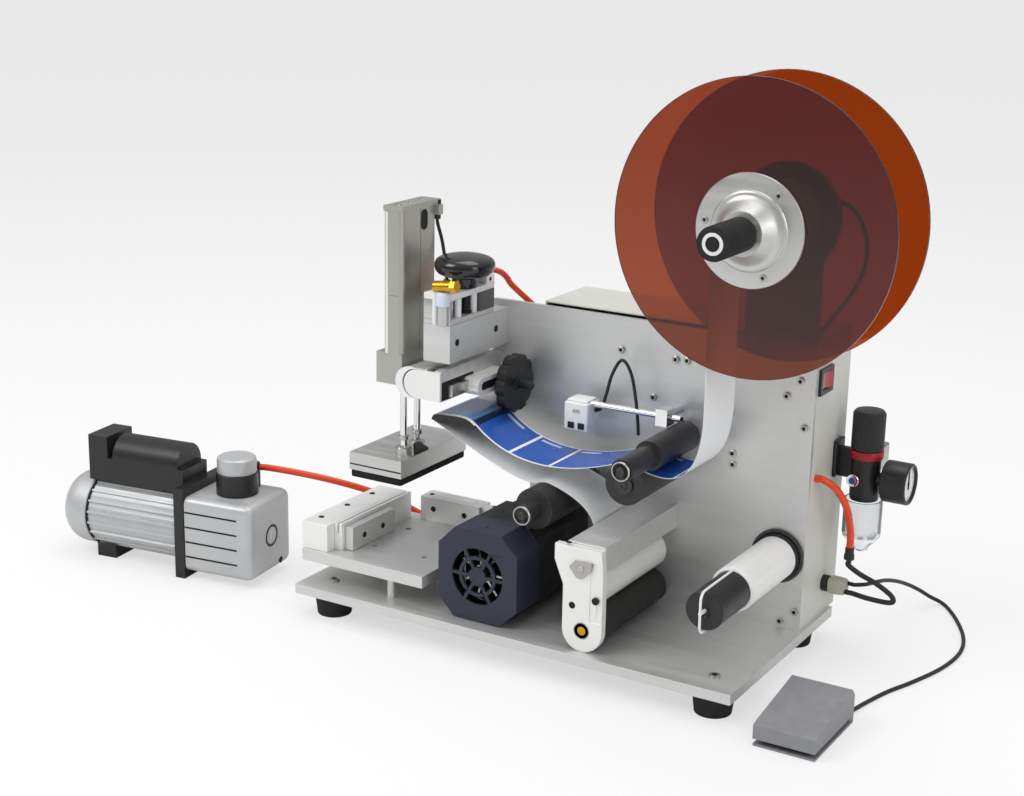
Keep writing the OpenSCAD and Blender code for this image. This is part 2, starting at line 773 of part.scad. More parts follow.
module motor_fan() from_corner() color("gainsboro") {
  yrod(motor_axis, fan_front, fan_front + fan_t, fan_hub_d);
  yrod(motor_axis, fan_front, motor_front + motor_cover_d + fan_t - over, motor_shaft_d);
  for (i = [0:blades - 1]) translate([motor_axis[0], fan_front, motor_axis[1]])
    rotate([0, i * 360 / blades, 0])
    block([fan_hub_d / 2 - over, over, -blade_t / 2], [fan_d / 2, fan_t - over, blade_t / 2]);
}
module pulley(axis, y0) {
  yrod(axis, y0, y0 + pulley_t, pulley_d);
  yrod(axis, y0 - over, y0, pulley_d + 2 * belt_t);
  yrod(axis, y0 + pulley_t, y0 + pulley_t + over, pulley_d + 2 * belt_t);
}
module motor_pulley() from_corner() color("silver") {
  yrod(motor_axis, gearbox_y + over, belt_y + pulley_t, output_shaft_d);
  pulley(motor_axis, belt_y);
}
module belt(a, b, y0) xz_plate(y0 + over / 2, y0 + pulley_t - over / 2) difference() {
  band(a, b, pulley_d / 2 + belt_gap + belt_t);
  band(a, b, pulley_d / 2 + belt_gap);
}
module band(a, b, r) {
  translate(a) circle(r);
  translate(b) circle(r);
  n = r * [-(b - a)[1], (b - a)[0]] / norm(b - a);
  polygon([a + n, a - n, b - n, b + n]);
}
module drive_belts() from_corner() color("black") {
  belt(motor_axis, drive_axis, belt_y);
  belt(drive_axis, rewind_axis, belt_y + belt_pitch);
}
module traction_block() from_corner() color("silver") {
  block([block_left, head_front + end_plate_t, block_z], [block_left + block_w, panel_y, block_z + block_h]);
}
module end_plate() from_corner() color("whitesmoke") {
  top = block_z + block_h - 2 * over;
  right = drive_axis[0] + end_round;
  difference() {
    xz_plate(head_front, head_front + end_plate_t) union() {
      translate(drive_axis) circle(end_round);
      polygon([[end_top_left, top], [end_top_left, top - end_neck],
        [drive_axis[0] - end_round, top - end_waist], [drive_axis[0] - end_round, drive_axis[1]],
        [right, drive_axis[1]], [right, top - block_h], [block_left + block_w, top]]);
    }
    yrod(drive_axis, head_front - over, head_front + end_plate_t + over, drive_shaft_d + 2 * fit);
    yrod(end_hole, head_front - over, head_front + end_plate_t / 2, end_hole_d);
    yrod(pinch_axis, head_front + end_plate_t / 2, head_front + end_plate_t + over, pinch_shaft_d + 2 * fit);
    block([right - strip_w - strip_t, head_front - over, drive_axis[1] + end_round / 2],
      [right - strip_t, head_front + strip_t, top - block_h / 2]);
  }
}
module rubber_roller() from_corner() {
  y0 = head_front + end_plate_t + 2 * gap;
  color([0.12, 0.12, 0.12]) difference() {
    yrod(drive_axis, y0, y0 + roller_len, rubber_d);
    yrod(drive_axis, y0 - over, y0 + roller_len + over, drive_shaft_d + 2 * fit);
  }
  color("silver") {
    yrod(drive_axis, head_front + over / 2, belt_y + belt_pitch + pulley_t, drive_shaft_d);
    pulley(drive_axis, belt_y);
    pulley(drive_axis, belt_y + belt_pitch);
  }
}
module metal_roller() from_corner() color("gainsboro") {
  y0 = head_front + end_plate_t + 2 * gap;
  yrod(pinch_axis, y0, y0 + roller_len, pinch_d);
  yrod(pinch_axis, head_front + end_plate_t / 2 + gap, panel_back, pinch_shaft_d);
}
module rewind_mandrel() from_corner() {
  color([0.15, 0.15, 0.14]) {
    difference() {
      yrod(rewind_axis, mandrel_front, mandrel_back, mandrel_d);
      yrod(rewind_axis, mandrel_front - over, mandrel_front + screw_head_h, mandrel_d / 3);
    }
    yrod(rewind_axis, mandrel_back - over, mandrel_back + rewind_flange_t, rewind_flange_d);
    yrod(rewind_axis, mandrel_back, belt_y + belt_pitch + pulley_t, rewind_shaft_d);
    pulley(rewind_axis, belt_y + belt_pitch);
  }
  color("white") {
    reach = mandrel_d / 2 + clip_d / 2 + fit;
    for (s = [-1, 1]) {
      p = rewind_axis + [0, s * reach];
      yrod(p, clip_front, liner_front - gap, clip_d);
      translate([p[0], clip_front, p[1]]) sphere(d = clip_d, $fn = 24);
    }
    zrod([rewind_axis[0], clip_front], rewind_axis[1] - reach, rewind_axis[1] + reach, clip_d);
    block([rewind_axis[0] - clip_d / 4, clip_front, rewind_axis[1] - clip_d / 4],
      [rewind_axis[0] + clip_d / 4, mandrel_front + screw_head_h - fit, rewind_axis[1] + clip_d / 4]);
  }
}
module liner_roll() from_corner() color("white") difference() {
  yrod(rewind_axis, liner_front, mandrel_back - over - gap, liner_d);
  yrod(rewind_axis, liner_front - over, mandrel_back, mandrel_d + 2 * fit);
}

module sensor_block() from_corner() {
  color("whitesmoke") difference() {
    box(sensor_lo, sensor_size);
    xrod(bar_axis, sensor_lo[0] - over, sensor_lo[0] + sensor_size[0] + over, bar_d + 2 * fit);
  }
  color("silver") xrod(bar_axis, sensor_lo[0] + over, bar_end, bar_d);
}
module sensor_mount() from_corner() color("silver") difference() {
  union() {
    box([clamp_x, bar_axis[0] - clamp_size[1] / 2, bar_axis[1] - clamp_size[2] / 2], clamp_size);
    yrod([clamp_x + clamp_size[0] / 2, bar_axis[1]],
      bar_axis[0] + clamp_size[1] / 2 - over, panel_y, post_d);
  }
  xrod(bar_axis, clamp_x - over, clamp_x + clamp_size[0] + over, bar_d + 2 * fit);
}
module sensor_cable() from_corner() color("black") tube(smooth(sensor_points, 2), cable_d, 8, [0, 1, 0]);

module upper_arm() from_corner() color("silver") difference() {
  block([arm_left, arm_front, arm_z], [arm_left + arm_w, panel_y, arm_z + arm_h]);
  for (y = rod_ys) zrod([rod_x, y], arm_z - over, arm_z + arm_h + over, lift_rod_d + 2 * fit);
  zrod(knob_axis, arm_z - over, arm_z + arm_h + over, lift_screw_d + 2 * fit);
}
module slide_block() from_corner() color("silver") {
  top = lift_z + lift_h;
  difference() {
    union() {
      block([arm_left, arm_front, lift_z], [arm_left + arm_w, arm_front + lift_d, top]);
      box([arm_left + arm_w - bracket_size[0], arm_front + lift_d - bracket_size[1], top - over],
        bracket_size);
    }
    block([lift_pocket_x, arm_front + 3 * lift_wall, lift_z + lift_wall],
      [arm_left + arm_w + over, arm_front + lift_d - 3 * lift_wall, top - lift_wall]);
    zrod(knob_axis, lift_z - over, top + over, lift_screw_d + 2 * fit);
    xrod([column_points[5][1], fitting_z], arm_left - over, arm_left + lift_wall, fitting_d / 2);
  }
  for (y = rod_ys) zrod([rod_x, y], rail_z + rail_foot_t, top - lift_wall + over, lift_rod_d);
  block([rod_x - rail_wide / 2, rail_front, rail_z + gap],
    [rod_x + rail_wide / 2, rail_front + rail_len, rail_z + rail_foot_t]);
  block([rod_x - lift_rod_d / 2, rail_front, rail_z + rail_foot_t],
    [rod_x + lift_rod_d / 2, rail_front + rail_len, lower_z + lower_arm_h]);
  color("gold") {
    xrod([column_points[5][1], fitting_z], arm_left - fitting_d - lift_wall, arm_left, fitting_d);
    xrod([column_points[5][1], fitting_z], arm_left - over, arm_left + lift_wall - over,
      fitting_d / 2 - 2 * fit);
  }
}
module lower_arm() from_corner() color("silver") {
  r = lower_arm_h / 2;
  difference() {
    union() {
      xz_plate(lower_front, lower_back) {
        translate([lower_left + r, lower_z + r]) circle(r);
        translate([lower_left + r, lower_z]) square([lower_right - lower_left - r, lower_arm_h]);
      }
      block([lower_left, column_y + r, column_z - guide_h + over],
        [lower_left + r, column_y + column_d - over, lower_z + r + over]);
      block(lug_lo - [over, 0, 0], lug_lo + lug_size);
    }
    block([rod_x - rail_wide / 2 - gap, lower_front - over, rail_z],
      [rod_x + rail_wide / 2 + gap, lower_back + over, rail_z + rail_foot_t + gap]);
    block([rod_x - lift_rod_d / 2 - gap, lower_front - over, rail_z],
      [rod_x + lift_rod_d / 2 + gap, lower_back + over, lower_z + lower_arm_h + over]);
    xrod(star_axis, lower_right - lug_size[0], lug_lo[0] + lug_size[0] + over, star_screw_d + 2 * fit);
  }
}
module head_knob() from_corner() color("black") {
  z0 = lift_z + lift_h + gap;
  translate([knob_axis[0], knob_axis[1], z0 + knob_hub_h]) rotate_extrude()
    polygon(concat([[0, 0], [knob_hub_d / 2, 0]],
      [for (w = wheel_shares) [w[0] * handwheel_d / 2, w[1] * wheel_h]], [[0, wheel_h]]));
  zrod(knob_axis, z0, z0 + knob_hub_h + over, knob_hub_d);
  zrod(knob_axis, z0 - screw_reach, z0 + over, lift_screw_d);
}
module star_knob() from_corner() color("black") {
  xrod(star_axis, star_x, star_x + star_t, star_d - star_lobe_d);
  for (i = [0:star_lobes - 1]) let (a = i * 360 / star_lobes)
    xrod(star_axis + aim(a, (star_d - star_lobe_d) / 2), star_x, star_x + star_t, star_lobe_d);
  xrod(star_axis, lug_lo[0] + lug_size[0] + gap, star_x + over, star_boss_d);
  xrod(star_axis, lower_right - lug_size[0] + gap, star_x + star_t + star_stub, star_screw_d);
}
module column() from_corner() {
  x1 = column_x + column_w;
  y1 = column_y + column_d;
  color("silver") difference() {
    union() {
      translate([0, 0, column_z]) linear_extrude(column_h) {
        translate([column_x, column_y]) square([column_w - column_round, column_d]);
        translate([column_x, column_y + column_round]) square([column_w, column_d - column_round]);
        translate([x1 - column_round, column_y + column_round]) circle(column_round);
      }
      block([x1 - guide_w, column_y, column_z - guide_h], [x1, y1, column_z + over]);
      block([column_x - over, column_y - over, column_z + column_h - over],
        [x1 + over, y1 + cap_over, column_z + column_h + cap_t]);
    }
    for (y = push_ys) zrod([rod_line_x, y], column_z - guide_h - over,
      column_z + column_h - 2 * over, push_rod_d + 2 * fit);
    block([column_x - over, column_y - over, column_line_z],
      [column_x + groove, y1 + over, column_line_z + groove]);
    block([column_x - over, column_y - over, column_line_z],
      [x1 + over, column_y + groove, column_line_z + groove]);
    block([x1 - groove, column_seam_y, column_z + over],
      [x1 + over, column_seam_y + groove, column_z + column_h - over]);
  }
  color("black") block([column_points[0][0] - port_d / 2, y1, column_points[0][2] + gap],
    [column_points[0][0] + port_d / 2, y1 + cap_over - over, column_z + column_h - over]);
}
module push_rods() from_corner() color("silver") for (y = push_ys)
  zrod([rod_line_x, y], pad_z + pad_t - rod_sink + fit, rod_top, push_rod_d);
module pad_plate() from_corner() color("silver") difference() {
  union() {
    box([pad_x, pad_y, pad_z], [pad_w, pad_d, pad_t]);
    for (y = push_ys) zrod([rod_line_x, y], pad_z + pad_t - over, pad_z + pad_t + boss_h, boss_d);
  }
  for (y = push_ys) zrod([rod_line_x, y], pad_z + pad_t - rod_sink, pad_z + pad_t + boss_h + over,
    push_rod_d + 2 * fit);
}
module pad_foam() from_corner() color("black")
  box([pad_x + over, pad_y + over, foam_z], [pad_w - 2 * over, pad_d - 2 * over, foam_t]);
module column_hose() from_corner() color("black") tube(smooth(column_points, 2), cable_d, 8, [0, 1, 0]);

module machine_lines() from_corner() {
  color("orangered") tube(smooth(side_points, 2), hose_d, 10, [0, 1, 0]);
  color("orangered") tube(smooth(head_points, 2), hose_d - over, 10, [0, 0, 1]);
  color("black") zrod([side_points[8][0], side_points[8][1]], lead_points[0][2] + gap,
    side_points[8][2] - gap, hose_d + 2 * over);
  color("black") tube(smooth(lead_points, 2), cable_d + over, 10, [0, 1, 0]);
  color("black") tube(smooth(reel_points, 2), cable_d, 8, [0, 1, 0]);
}

module regulator_body() from_corner() color([0.12, 0.12, 0.12]) difference() {
  at = [reg_x, reg_y];
  union() {
    zrod(at, reg_z, reg_z + reg_h, regulator_d);
    block([panel_right, reg_y - reg_bracket_t / 2, reg_bracket_z[0]],
      [reg_x - regulator_d / 3, reg_y + reg_bracket_t / 2, reg_bracket_z[1] - over]);
    yrod([reg_x - regulator_d / 5, gauge_z], reg_y - regulator_d / 2 - fitting_len / 2, reg_y, fitting_len);
    xrod([reg_y, gauge_z], reg_x, gauge_x + over, gauge_neck_d);
    xrod([reg_y, gauge_z], gauge_x, gauge_x + gauge_t, gauge_d);
    box([reg_x - valve_size[0] / 2, reg_y + regulator_d / 3, valve_z], valve_size);
  }
  zrod(at, reg_z + reg_h / 2, reg_z + reg_h + over, lever_stem_d + 2 * fit);
  xrod([reg_y, gauge_z], gauge_x + gauge_t - gauge_recess, gauge_x + gauge_t + over,
    gauge_d - 2 * gauge_rim);
  xrod([reg_y, gauge_z], gauge_x + gauge_t / 2, gauge_x + gauge_t + over, needle_pin_d + 2 * fit);
  zrod(lever_at, valve_z + valve_size[2] / 2, valve_z + valve_size[2] + over, lever_stem_d + 2 * fit);
}
module regulator_knob() from_corner() color("black") {
  z0 = reg_z + reg_h + gap;
  zrod([reg_x, reg_y], z0, z0 + reg_knob_h, reg_knob_d);
  zrod([reg_x, reg_y], reg_z + reg_h / 2 + gap, z0 + over, lever_stem_d);
}
module regulator_bowl() from_corner() color("white", 0.4) difference() {
  union() {
    zrod([reg_x, reg_y], reg_z - bowl_h, reg_z, bowl_d);
    translate([reg_x, reg_y, reg_z - bowl_h - bowl_tip_h]) cylinder(d1 = bowl_tip_d,
      d2 = bowl_d, h = bowl_tip_h);
  }
  zrod([reg_x, reg_y], reg_z - bowl_h, reg_z - bowl_wall, bowl_d - 2 * bowl_wall);
}
module gauge_needle() from_corner() color("black") {
  face = gauge_x + gauge_t - gauge_recess + gap;
  xrod([reg_y, gauge_z], gauge_x + gauge_t / 2 + gap, face + needle_t, needle_pin_d);
  block([face, reg_y - needle_w / 2, gauge_z - needle_pin_d],
    [face + needle_t, reg_y + needle_w / 2, gauge_z + gauge_d / 3]);
}
module valve_lever() from_corner() color("black") {
  at = lever_at;
  z1 = valve_z + valve_size[2];
  zrod(at, valve_z + valve_size[2] / 2 + gap, z1 + lever_h, lever_stem_d);
  translate([at[0], at[1], z1 + lever_h]) sphere(d = ball_d, $fn = 32);
}
module panel_sockets() from_corner() color("black") {
  y0 = switch_lo[0];
  z0 = switch_lo[1];
  y1 = y0 + switch_size[0];
  z1 = z0 + switch_size[1];
  w = bezel_wall;
  difference() {
    union() {
      block([panel_right, y0, z0], [panel_right + bezel_t, y1, z1]);
      block([panel_right - switch_deep, y0 + w / 2 + fit, z0 + w / 2 + fit],
        [panel_right + over, y1 - w / 2 - fit, z1 - w / 2 - fit]);
    }
    block([panel_right - switch_deep - over, y0 + 2 * w, z0 + 2 * w],
      [panel_right + bezel_t + over, y1 - 2 * w, z1 - 2 * w]);
    zrod([panel_right - over, (y0 + y1) / 2], z0 + w + over / 2, z1 - w - over / 2, rocker_pin_d + 2 * fit);
  }
  difference() {
    xrod(socket_place, panel_right, panel_right + socket_t, socket_d);
    xrod(socket_place, panel_right - over, panel_right + socket_t + over, socket_bore_d);
  }
}
module power_rocker() from_corner() color("red") {
  y = switch_lo[0] + switch_size[0] / 2;
  z0 = switch_lo[1] + 2 * bezel_wall + gap;
  z1 = switch_lo[1] + switch_size[1] - 2 * bezel_wall - gap;
  half = switch_size[0] / 2 - 2 * bezel_wall - 2 * gap - over / 2;
  translate([panel_right - over, y, z0]) linear_extrude(z1 - z0)
    polygon([[-rocker_t / 2, -half], [bezel_t, -half], [bezel_t - over, 0], [bezel_t + 2 * over, half],
      [-rocker_t / 2 + over, half]]);
  zrod([panel_right - over, y], z0 - bezel_wall / 2, z1 + bezel_wall / 2, rocker_pin_d);
}
module pedal_plug() from_corner() color("tan") {
  xrod(socket_place, panel_right + over, panel_right + socket_t + over, socket_bore_d - 2 * fit);
  block([panel_right + socket_t + over / 2, socket_place[0] - socket_d / 2, socket_place[1] - socket_d / 2],
    [panel_right + plug_len, socket_place[0] + socket_d / 2, socket_place[1] + socket_d / 2]);
}
module pedal_cable() from_corner() color("black") tube(smooth(pedal_points, 2), cable_d, 8, [0, 0, 1]);
module pedal_base() from_corner() color("dimgray") {
  x0 = pedal_lo[0];
  difference() {
    union() {
      block([x0, pedal_lo[1] + over, floor_z],
        [x0 + pedal_w, pedal_lo[1] + pedal_d, floor_z + pedal_plate_t]);
      for (x = [x0 + 2 * pedal_wall, x0 + pedal_w - 3 * pedal_wall])
        block([x, pedal_pin[0] - 2 * pedal_pin_d, floor_z + over],
          [x + pedal_wall, pedal_pin[0] + pedal_pin_d, pedal_pin[1] + pedal_pin_d]);
      block([x0 + pedal_w - 4 * pedal_wall, pedal_lo[1] + pedal_d - 2 * pedal_wall, floor_z],
        [x0 + pedal_w - over, pedal_lo[1] + pedal_d + pedal_wall, floor_z + pedal_lift - gap]);
    }
    xrod(pedal_pin, x0, x0 + pedal_w, pedal_pin_d + 2 * fit);
  }
}
module pedal_tread() from_corner() color("gray") {
  x0 = pedal_lo[0];
  y0 = pedal_lo[1];
  yz = [[y0, floor_z + pedal_lift], [y0, floor_z + pedal_front_h],
    [y0 + pedal_lift, floor_z + pedal_front_h + 2 * over],
    [y0 + pedal_d - pedal_lift, floor_z + pedal_back_h], [y0 + pedal_d, floor_z + pedal_back_h - pedal_lift],
    [y0 + pedal_d, floor_z + pedal_lift]];
  difference() {
    yz_plate(x0, x0 + pedal_w) polygon(yz);
    yz_plate(x0 + pedal_wall, x0 + pedal_w - pedal_wall) polygon([
      [y0 + pedal_wall, floor_z], [y0 + pedal_wall, floor_z + pedal_front_h - pedal_wall],
      [y0 + pedal_d - pedal_lift, floor_z + pedal_back_h - pedal_wall],
      [y0 + pedal_d - pedal_wall, floor_z + pedal_back_h - pedal_lift - pedal_wall],
      [y0 + pedal_d - pedal_wall, floor_z]]);
  }
  xrod(pedal_pin, x0 + pedal_wall - over, x0 + pedal_w - pedal_wall + over, pedal_pin_d);
}

module at_pump() from_corner() translate([pump_x, pump_y, 0]) rotate([0, 0, pump_turn]) children();
module pump_oil_box() at_pump() color("silver") difference() {
  union() {
    box([0, 0, floor_z + pump_rise], [oil_box_l, oil_box_d, oil_box_h]);
    zrod(inlet_at, floor_z + pump_rise + oil_box_h - over, inlet_z, inlet_d);
  }
  for (i = [1:4]) block([-over, -over, floor_z + pump_rise + i * oil_box_h / 5],
    [groove_len, groove, floor_z + pump_rise + i * oil_box_h / 5 + 2 * groove]);
  xrod([oil_box_d / 2, pump_axis[1]], oil_box_l - over, oil_box_l + over, sight_d);
  translate([oil_box_l, 0, 0]) rotate([0, 0, 45])
    block([-2 * over, -2 * over, floor_z], [2 * over, 2 * over, oil_box_h]);
}
module pump_motor() at_pump() color("silver") {
  xrod(pump_axis, -pump_wall - pump_motor_l - 3 * over, -pump_wall, pump_motor_d - 2 * pump_fin_h);
  for (i = [0:pump_fins - 1]) translate([0, pump_axis[0], pump_axis[1]])
    rotate([(i + 1 / 2) * 360 / pump_fins, 0, 0])
    block([-pump_wall - pump_motor_l + gap, -pump_fin_h / 2, pump_motor_d / 2 - 3 * pump_fin_h],
      [-pump_wall - gap, pump_fin_h / 2, pump_motor_d / 2 - gap]);
  xrod(pump_axis, -pump_wall - pump_motor_l - pump_bell_l / 2, -pump_wall - pump_motor_l, pump_motor_d);
  translate([-pump_wall - pump_motor_l - pump_bell_l / 2, pump_axis[0], pump_axis[1]])
    rotate([0, -90, 0]) cylinder(d1 = pump_motor_d, d2 = bell_end_d, h = pump_bell_l / 2);
}
module pump_frame() at_pump() color("black") difference() {
  z0 = pump_axis[1] + pump_motor_d / 2 - pump_fin_h;
  y0 = pump_axis[0] - pump_box_w / 2;
  x0 = -pump_wall - pump_box_l;
  union() {
    block([-pump_wall, -over, floor_z], [0, oil_box_d + over, floor_z + 2 * pump_rise + oil_box_h]);
    block([x0, y0, z0], [-pump_wall + over, y0 + pump_box_w, z0 + box_low]);
    xrod([pump_axis[0], z0 + box_low], x0 + box_arch[0], x0 + box_arch[0] + box_arch[1], pump_box_w);
    block([x0, y0, z0], [x0 + box_post[0], y0 + pump_box_w, z0 + box_post[1]]);
    block([-pump_wall - pump_motor_l, y0, floor_z],
      [-pump_wall - pump_motor_l + 2 * pump_wall, y0 + pump_box_w, pump_axis[1] - pump_motor_d / 3]);
  }
  xrod(pump_axis, x0 - pump_motor_l, -pump_wall, pump_motor_d + 2 * gap);
}
module pump_cap() at_pump() {
  z0 = floor_z + pump_rise + oil_box_h;
  at = [oil_box_l / 2, oil_box_d / 2];
  color("black") zrod(at, z0 + gap, z0 + neck_h, neck_d);
  color("silver") zrod(at, z0 + neck_h, z0 + neck_h + cap_h, neck_d - 2 * over);
}
module pump_hose() from_corner() color("orangered") tube(smooth(pump_points, 2), hose_d, 10, [0, 0, 1]);

module fixture_plate() from_corner() color("silver") {
  difference() {
    box([0, fixture_y, fixture_lift], [fixture_w, fixture_d, fixture_t]);
    for (x = [-1, 1], y = [-1, 1]) zrod([jig_centre[0] + x * jig_pitch / 2,
      jig_centre[1] + y * jig_pitch / 2], fixture_lift - over, fixture_top + over, jig_hole_d);
  }
  for (p = post_places) zrod(p, 0, fixture_lift, fixture_post_d);
}
module fixed_fences() from_corner() color("whitesmoke") {
  block([outer_lo[0], outer_lo[1], fixture_top], [outer_lo[0] + outer_w, fence_back, fixture_top + fence_h]);
  difference() {
    block([strip_lo[0], strip_lo[1], fixture_top],
      [strip_lo[0] + strip_size_x, fence_back, fixture_top + fence_h]);
    block([strip_lo[0] + strip_size_x / 2 - slot_w / 2, strip_lo[1] - over,
      fixture_top + fence_h - slot_deep],
      [strip_lo[0] + strip_size_x / 2 + slot_w / 2, fence_back + over, fixture_top + fence_h + over]);
  }
  block([back_lo[0], back_lo[1], fixture_top],
    [back_lo[0] + back_size[0], back_lo[1] + back_size[1] - over, fixture_top + back_size[2]]);
  zrod([back_lo[0] + back_size[0] + end_round_d / 2 + gap, back_lo[1] + end_round_d / 2],
    fixture_top, fixture_top + back_size[2], end_round_d);
}
module inner_fence() from_corner() color("silver")
  box([inner_lo[0], inner_lo[1], fixture_top + gap], inner_size);
module internal_units() from_corner() {
  color("silver") box([cover_left + 2 * pump_wall, base_d - supply_size[1] - over, 0], supply_size);
  color("darkgreen") box([panel_right - board_size[0] - 4 * pump_wall, base_d - board_size[1] - over, 0],
    board_size);
  color("gray") box([cover_left + 2 * pump_wall, panel_back, motor_h + valve_box[2]], valve_box);
}

base_plate();
rubber_feet();
front_panel();
rear_cover();
frame_screws();
roller_supports();
reel_shaft();
reel_flanges();
reel_discs();
label_roll();
label_web();
peel_plate();
guide_roller_a();
guide_roller_b();
guide_roller_c();
motor_cover();
motor_body();
motor_fan();
motor_pulley();
drive_belts();
traction_block();
end_plate();
rubber_roller();
metal_roller();
rewind_mandrel();
liner_roll();
sensor_block();
sensor_mount();
sensor_cable();
upper_arm();
slide_block();
lower_arm();
head_knob();
star_knob();
column();
push_rods();
pad_plate();
pad_foam();
column_hose();
machine_lines();
regulator_body();
regulator_knob();
regulator_bowl();
gauge_needle();
valve_lever();
panel_sockets();
power_rocker();
pedal_base();
pedal_tread();
pedal_cable();
pedal_plug();
pump_motor();
pump_frame();
pump_oil_box();
pump_cap();
pump_hose();
fixture_plate();
fixed_fences();
inner_fence();
internal_units();
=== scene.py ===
"""Flat surface labeling machine: the looks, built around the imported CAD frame."""
import math

import bmesh
import bpy
from mathutils import Matrix, Vector


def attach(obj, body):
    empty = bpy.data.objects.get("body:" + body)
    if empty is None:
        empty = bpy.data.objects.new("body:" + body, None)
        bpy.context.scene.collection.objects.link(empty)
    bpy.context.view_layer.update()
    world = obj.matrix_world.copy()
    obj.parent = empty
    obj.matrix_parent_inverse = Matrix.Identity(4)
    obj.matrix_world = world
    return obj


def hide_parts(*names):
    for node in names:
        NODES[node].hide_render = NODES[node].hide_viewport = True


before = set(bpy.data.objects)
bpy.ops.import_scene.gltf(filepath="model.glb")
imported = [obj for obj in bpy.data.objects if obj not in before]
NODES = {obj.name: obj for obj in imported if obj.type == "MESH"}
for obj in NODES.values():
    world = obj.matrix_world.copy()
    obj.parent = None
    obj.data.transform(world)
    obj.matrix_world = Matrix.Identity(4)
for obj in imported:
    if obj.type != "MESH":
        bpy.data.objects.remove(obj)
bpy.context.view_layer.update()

MM = 0.001
# The deck's front-left top corner in the row frame. All places below are millimetres on the deck.
DECK = Vector((-28, -28, 33.5))
FLOOR_Z = -33.5
WHOLE = "machine"


def place(x, y, z):
    """A point on the deck in millimetres as a point of the row frame in metres."""
    return (Vector((x, y, z)) + DECK) * MM


# materials

def linear(hex_colour):
    """A colour as it looks on screen, as the shader's linear colour."""
    out = []
    for i in (0, 2, 4):
        c = int(hex_colour[i:i + 2], 16) / 255
        out.append(c / 12.92 if c <= 0.04045 else ((c + 0.055) / 1.055) ** 2.4)
    return (*out, 1)


def shade(colour, k):
    return (*(min(1, max(0, c * k)) for c in colour[:3]), 1)


def feed(nt, shader, inputs):
    """Sets a shader node's inputs. A socket given as a value is linked to its input."""
    for key, value in inputs.items():
        if isinstance(value, bpy.types.NodeSocket):
            nt.links.new(value, shader.inputs[key])
        else:
            shader.inputs[key].default_value = value


def node(nt, kind, inputs=None, operation=None):
    """Adds a shader node with its inputs set."""
    n = nt.nodes.new("ShaderNode" + kind)
    if operation:
        n.operation = operation
    feed(nt, n, inputs or {})
    return n


# The middle of the noise, which is stretched over a material's whole change
NOISE_LOW, NOISE_HIGH = 0.3, 0.7
LEAST_ROUGH = 0.02
BUMP_DEPTH = 0.0004
COAT_ROUGH = 0.08


def finish(name, colour, rough=0.5, metal=0.0, vary=0.08, scale=30, stretch=(1, 1, 1),
           rough_vary=0.08, bump=0.0, bump_scale=0, coat=0.0, specular=0.5,
           transmission=0.0, ior=1.45):
    """A material whose colour, roughness and height all vary with noise in the object's space."""
    m = bpy.data.materials.new(name)
    m.use_nodes = True
    nt = m.node_tree
    base = linear(colour)
    coords = node(nt, "TexCoord")
    mapping = node(nt, "Mapping", {"Scale": stretch, "Vector": coords.outputs["Object"]})
    spot = mapping.outputs["Vector"]
    noise = node(nt, "TexNoise", {"Scale": scale, "Detail": 5, "Vector": spot}).outputs["Fac"]
    ramp = node(nt, "ValToRGB", {"Fac": noise})
    low, high = ramp.color_ramp.elements
    low.position, low.color = NOISE_LOW, shade(base, 1 - vary)
    high.position, high.color = NOISE_HIGH, shade(base, 1 + vary)
    span = node(nt, "MapRange", {"Value": noise, "From Min": NOISE_LOW, "From Max": NOISE_HIGH,
                                 "To Min": max(LEAST_ROUGH, rough - rough_vary),
                                 "To Max": min(1, rough + rough_vary)})
    shader = nt.nodes["Principled BSDF"]
    feed(nt, shader, {"Base Color": ramp.outputs["Color"], "Roughness": span.outputs["Result"],
                      "Metallic": metal, "Specular IOR Level": specular, "Coat Weight": coat,
                      "Coat Roughness": COAT_ROUGH, "Transmission Weight": transmission, "IOR": ior})
    if bump:
        fine = node(nt, "TexNoise", {"Scale": bump_scale, "Detail": 4, "Vector": spot})
        height = node(nt, "Bump", {"Strength": bump, "Distance": BUMP_DEPTH,
                                   "Height": fine.outputs["Fac"]})
        feed(nt, shader, {"Normal": height.outputs["Normal"]})
    return m


MILLED = finish("milled_aluminium", "C9C9C7", rough=0.36, metal=0.85, vary=0.05, scale=14,
                stretch=(1, 9, 9), bump=0.12, bump_scale=260)
PLATE = finish("brushed_plate", "D6D7D5", rough=0.42, metal=0.60, vary=0.05, scale=8,
               stretch=(1, 14, 14), bump=0.15, bump_scale=220)
ANODISED = finish("anodised_grey", "B3B2AC", rough=0.38, metal=0.75, vary=0.05, scale=10,
                  stretch=(12, 12, 1), bump=0.1, bump_scale=200)
BRIGHT = finish("bright_milled", "EFEFED", rough=0.38, metal=0.35, vary=0.03, scale=25,
                bump=0.1, bump_scale=300)
PAINTED = finish("painted_sheet", "D2D2CC", rough=0.5, metal=0.1, vary=0.03, scale=18,
                 bump=0.15, bump_scale=900)
STEEL = finish("ground_steel", "B8B7B2", rough=0.28, metal=1.0, vary=0.08, scale=40,
               stretch=(1, 5, 1), bump=0.08, bump_scale=300)
SHADOW = finish("shaded_aluminium", "6E6F6C", rough=0.5, metal=0.6, bump=0.1, bump_scale=200)
PALE = finish("pale_collar", "D5E0F0", rough=0.3, vary=0.04, scale=60)
CHROME = finish("chrome", "E4E4E4", rough=0.1, metal=1.0, vary=0.03, scale=60, rough_vary=0.04)
BRASS = finish("brass", "C99A2C", rough=0.25, metal=0.9, vary=0.1, scale=80)
RUBBER = finish("black_rubber", "1D1D1D", rough=0.75, vary=0.2, scale=60, bump=0.3, bump_scale=1200)
ROLLER = finish("roller_coating", "2B2B2A", rough=0.42, vary=0.15, scale=40, stretch=(1, 0.3, 1),
                bump=0.12, bump_scale=700)
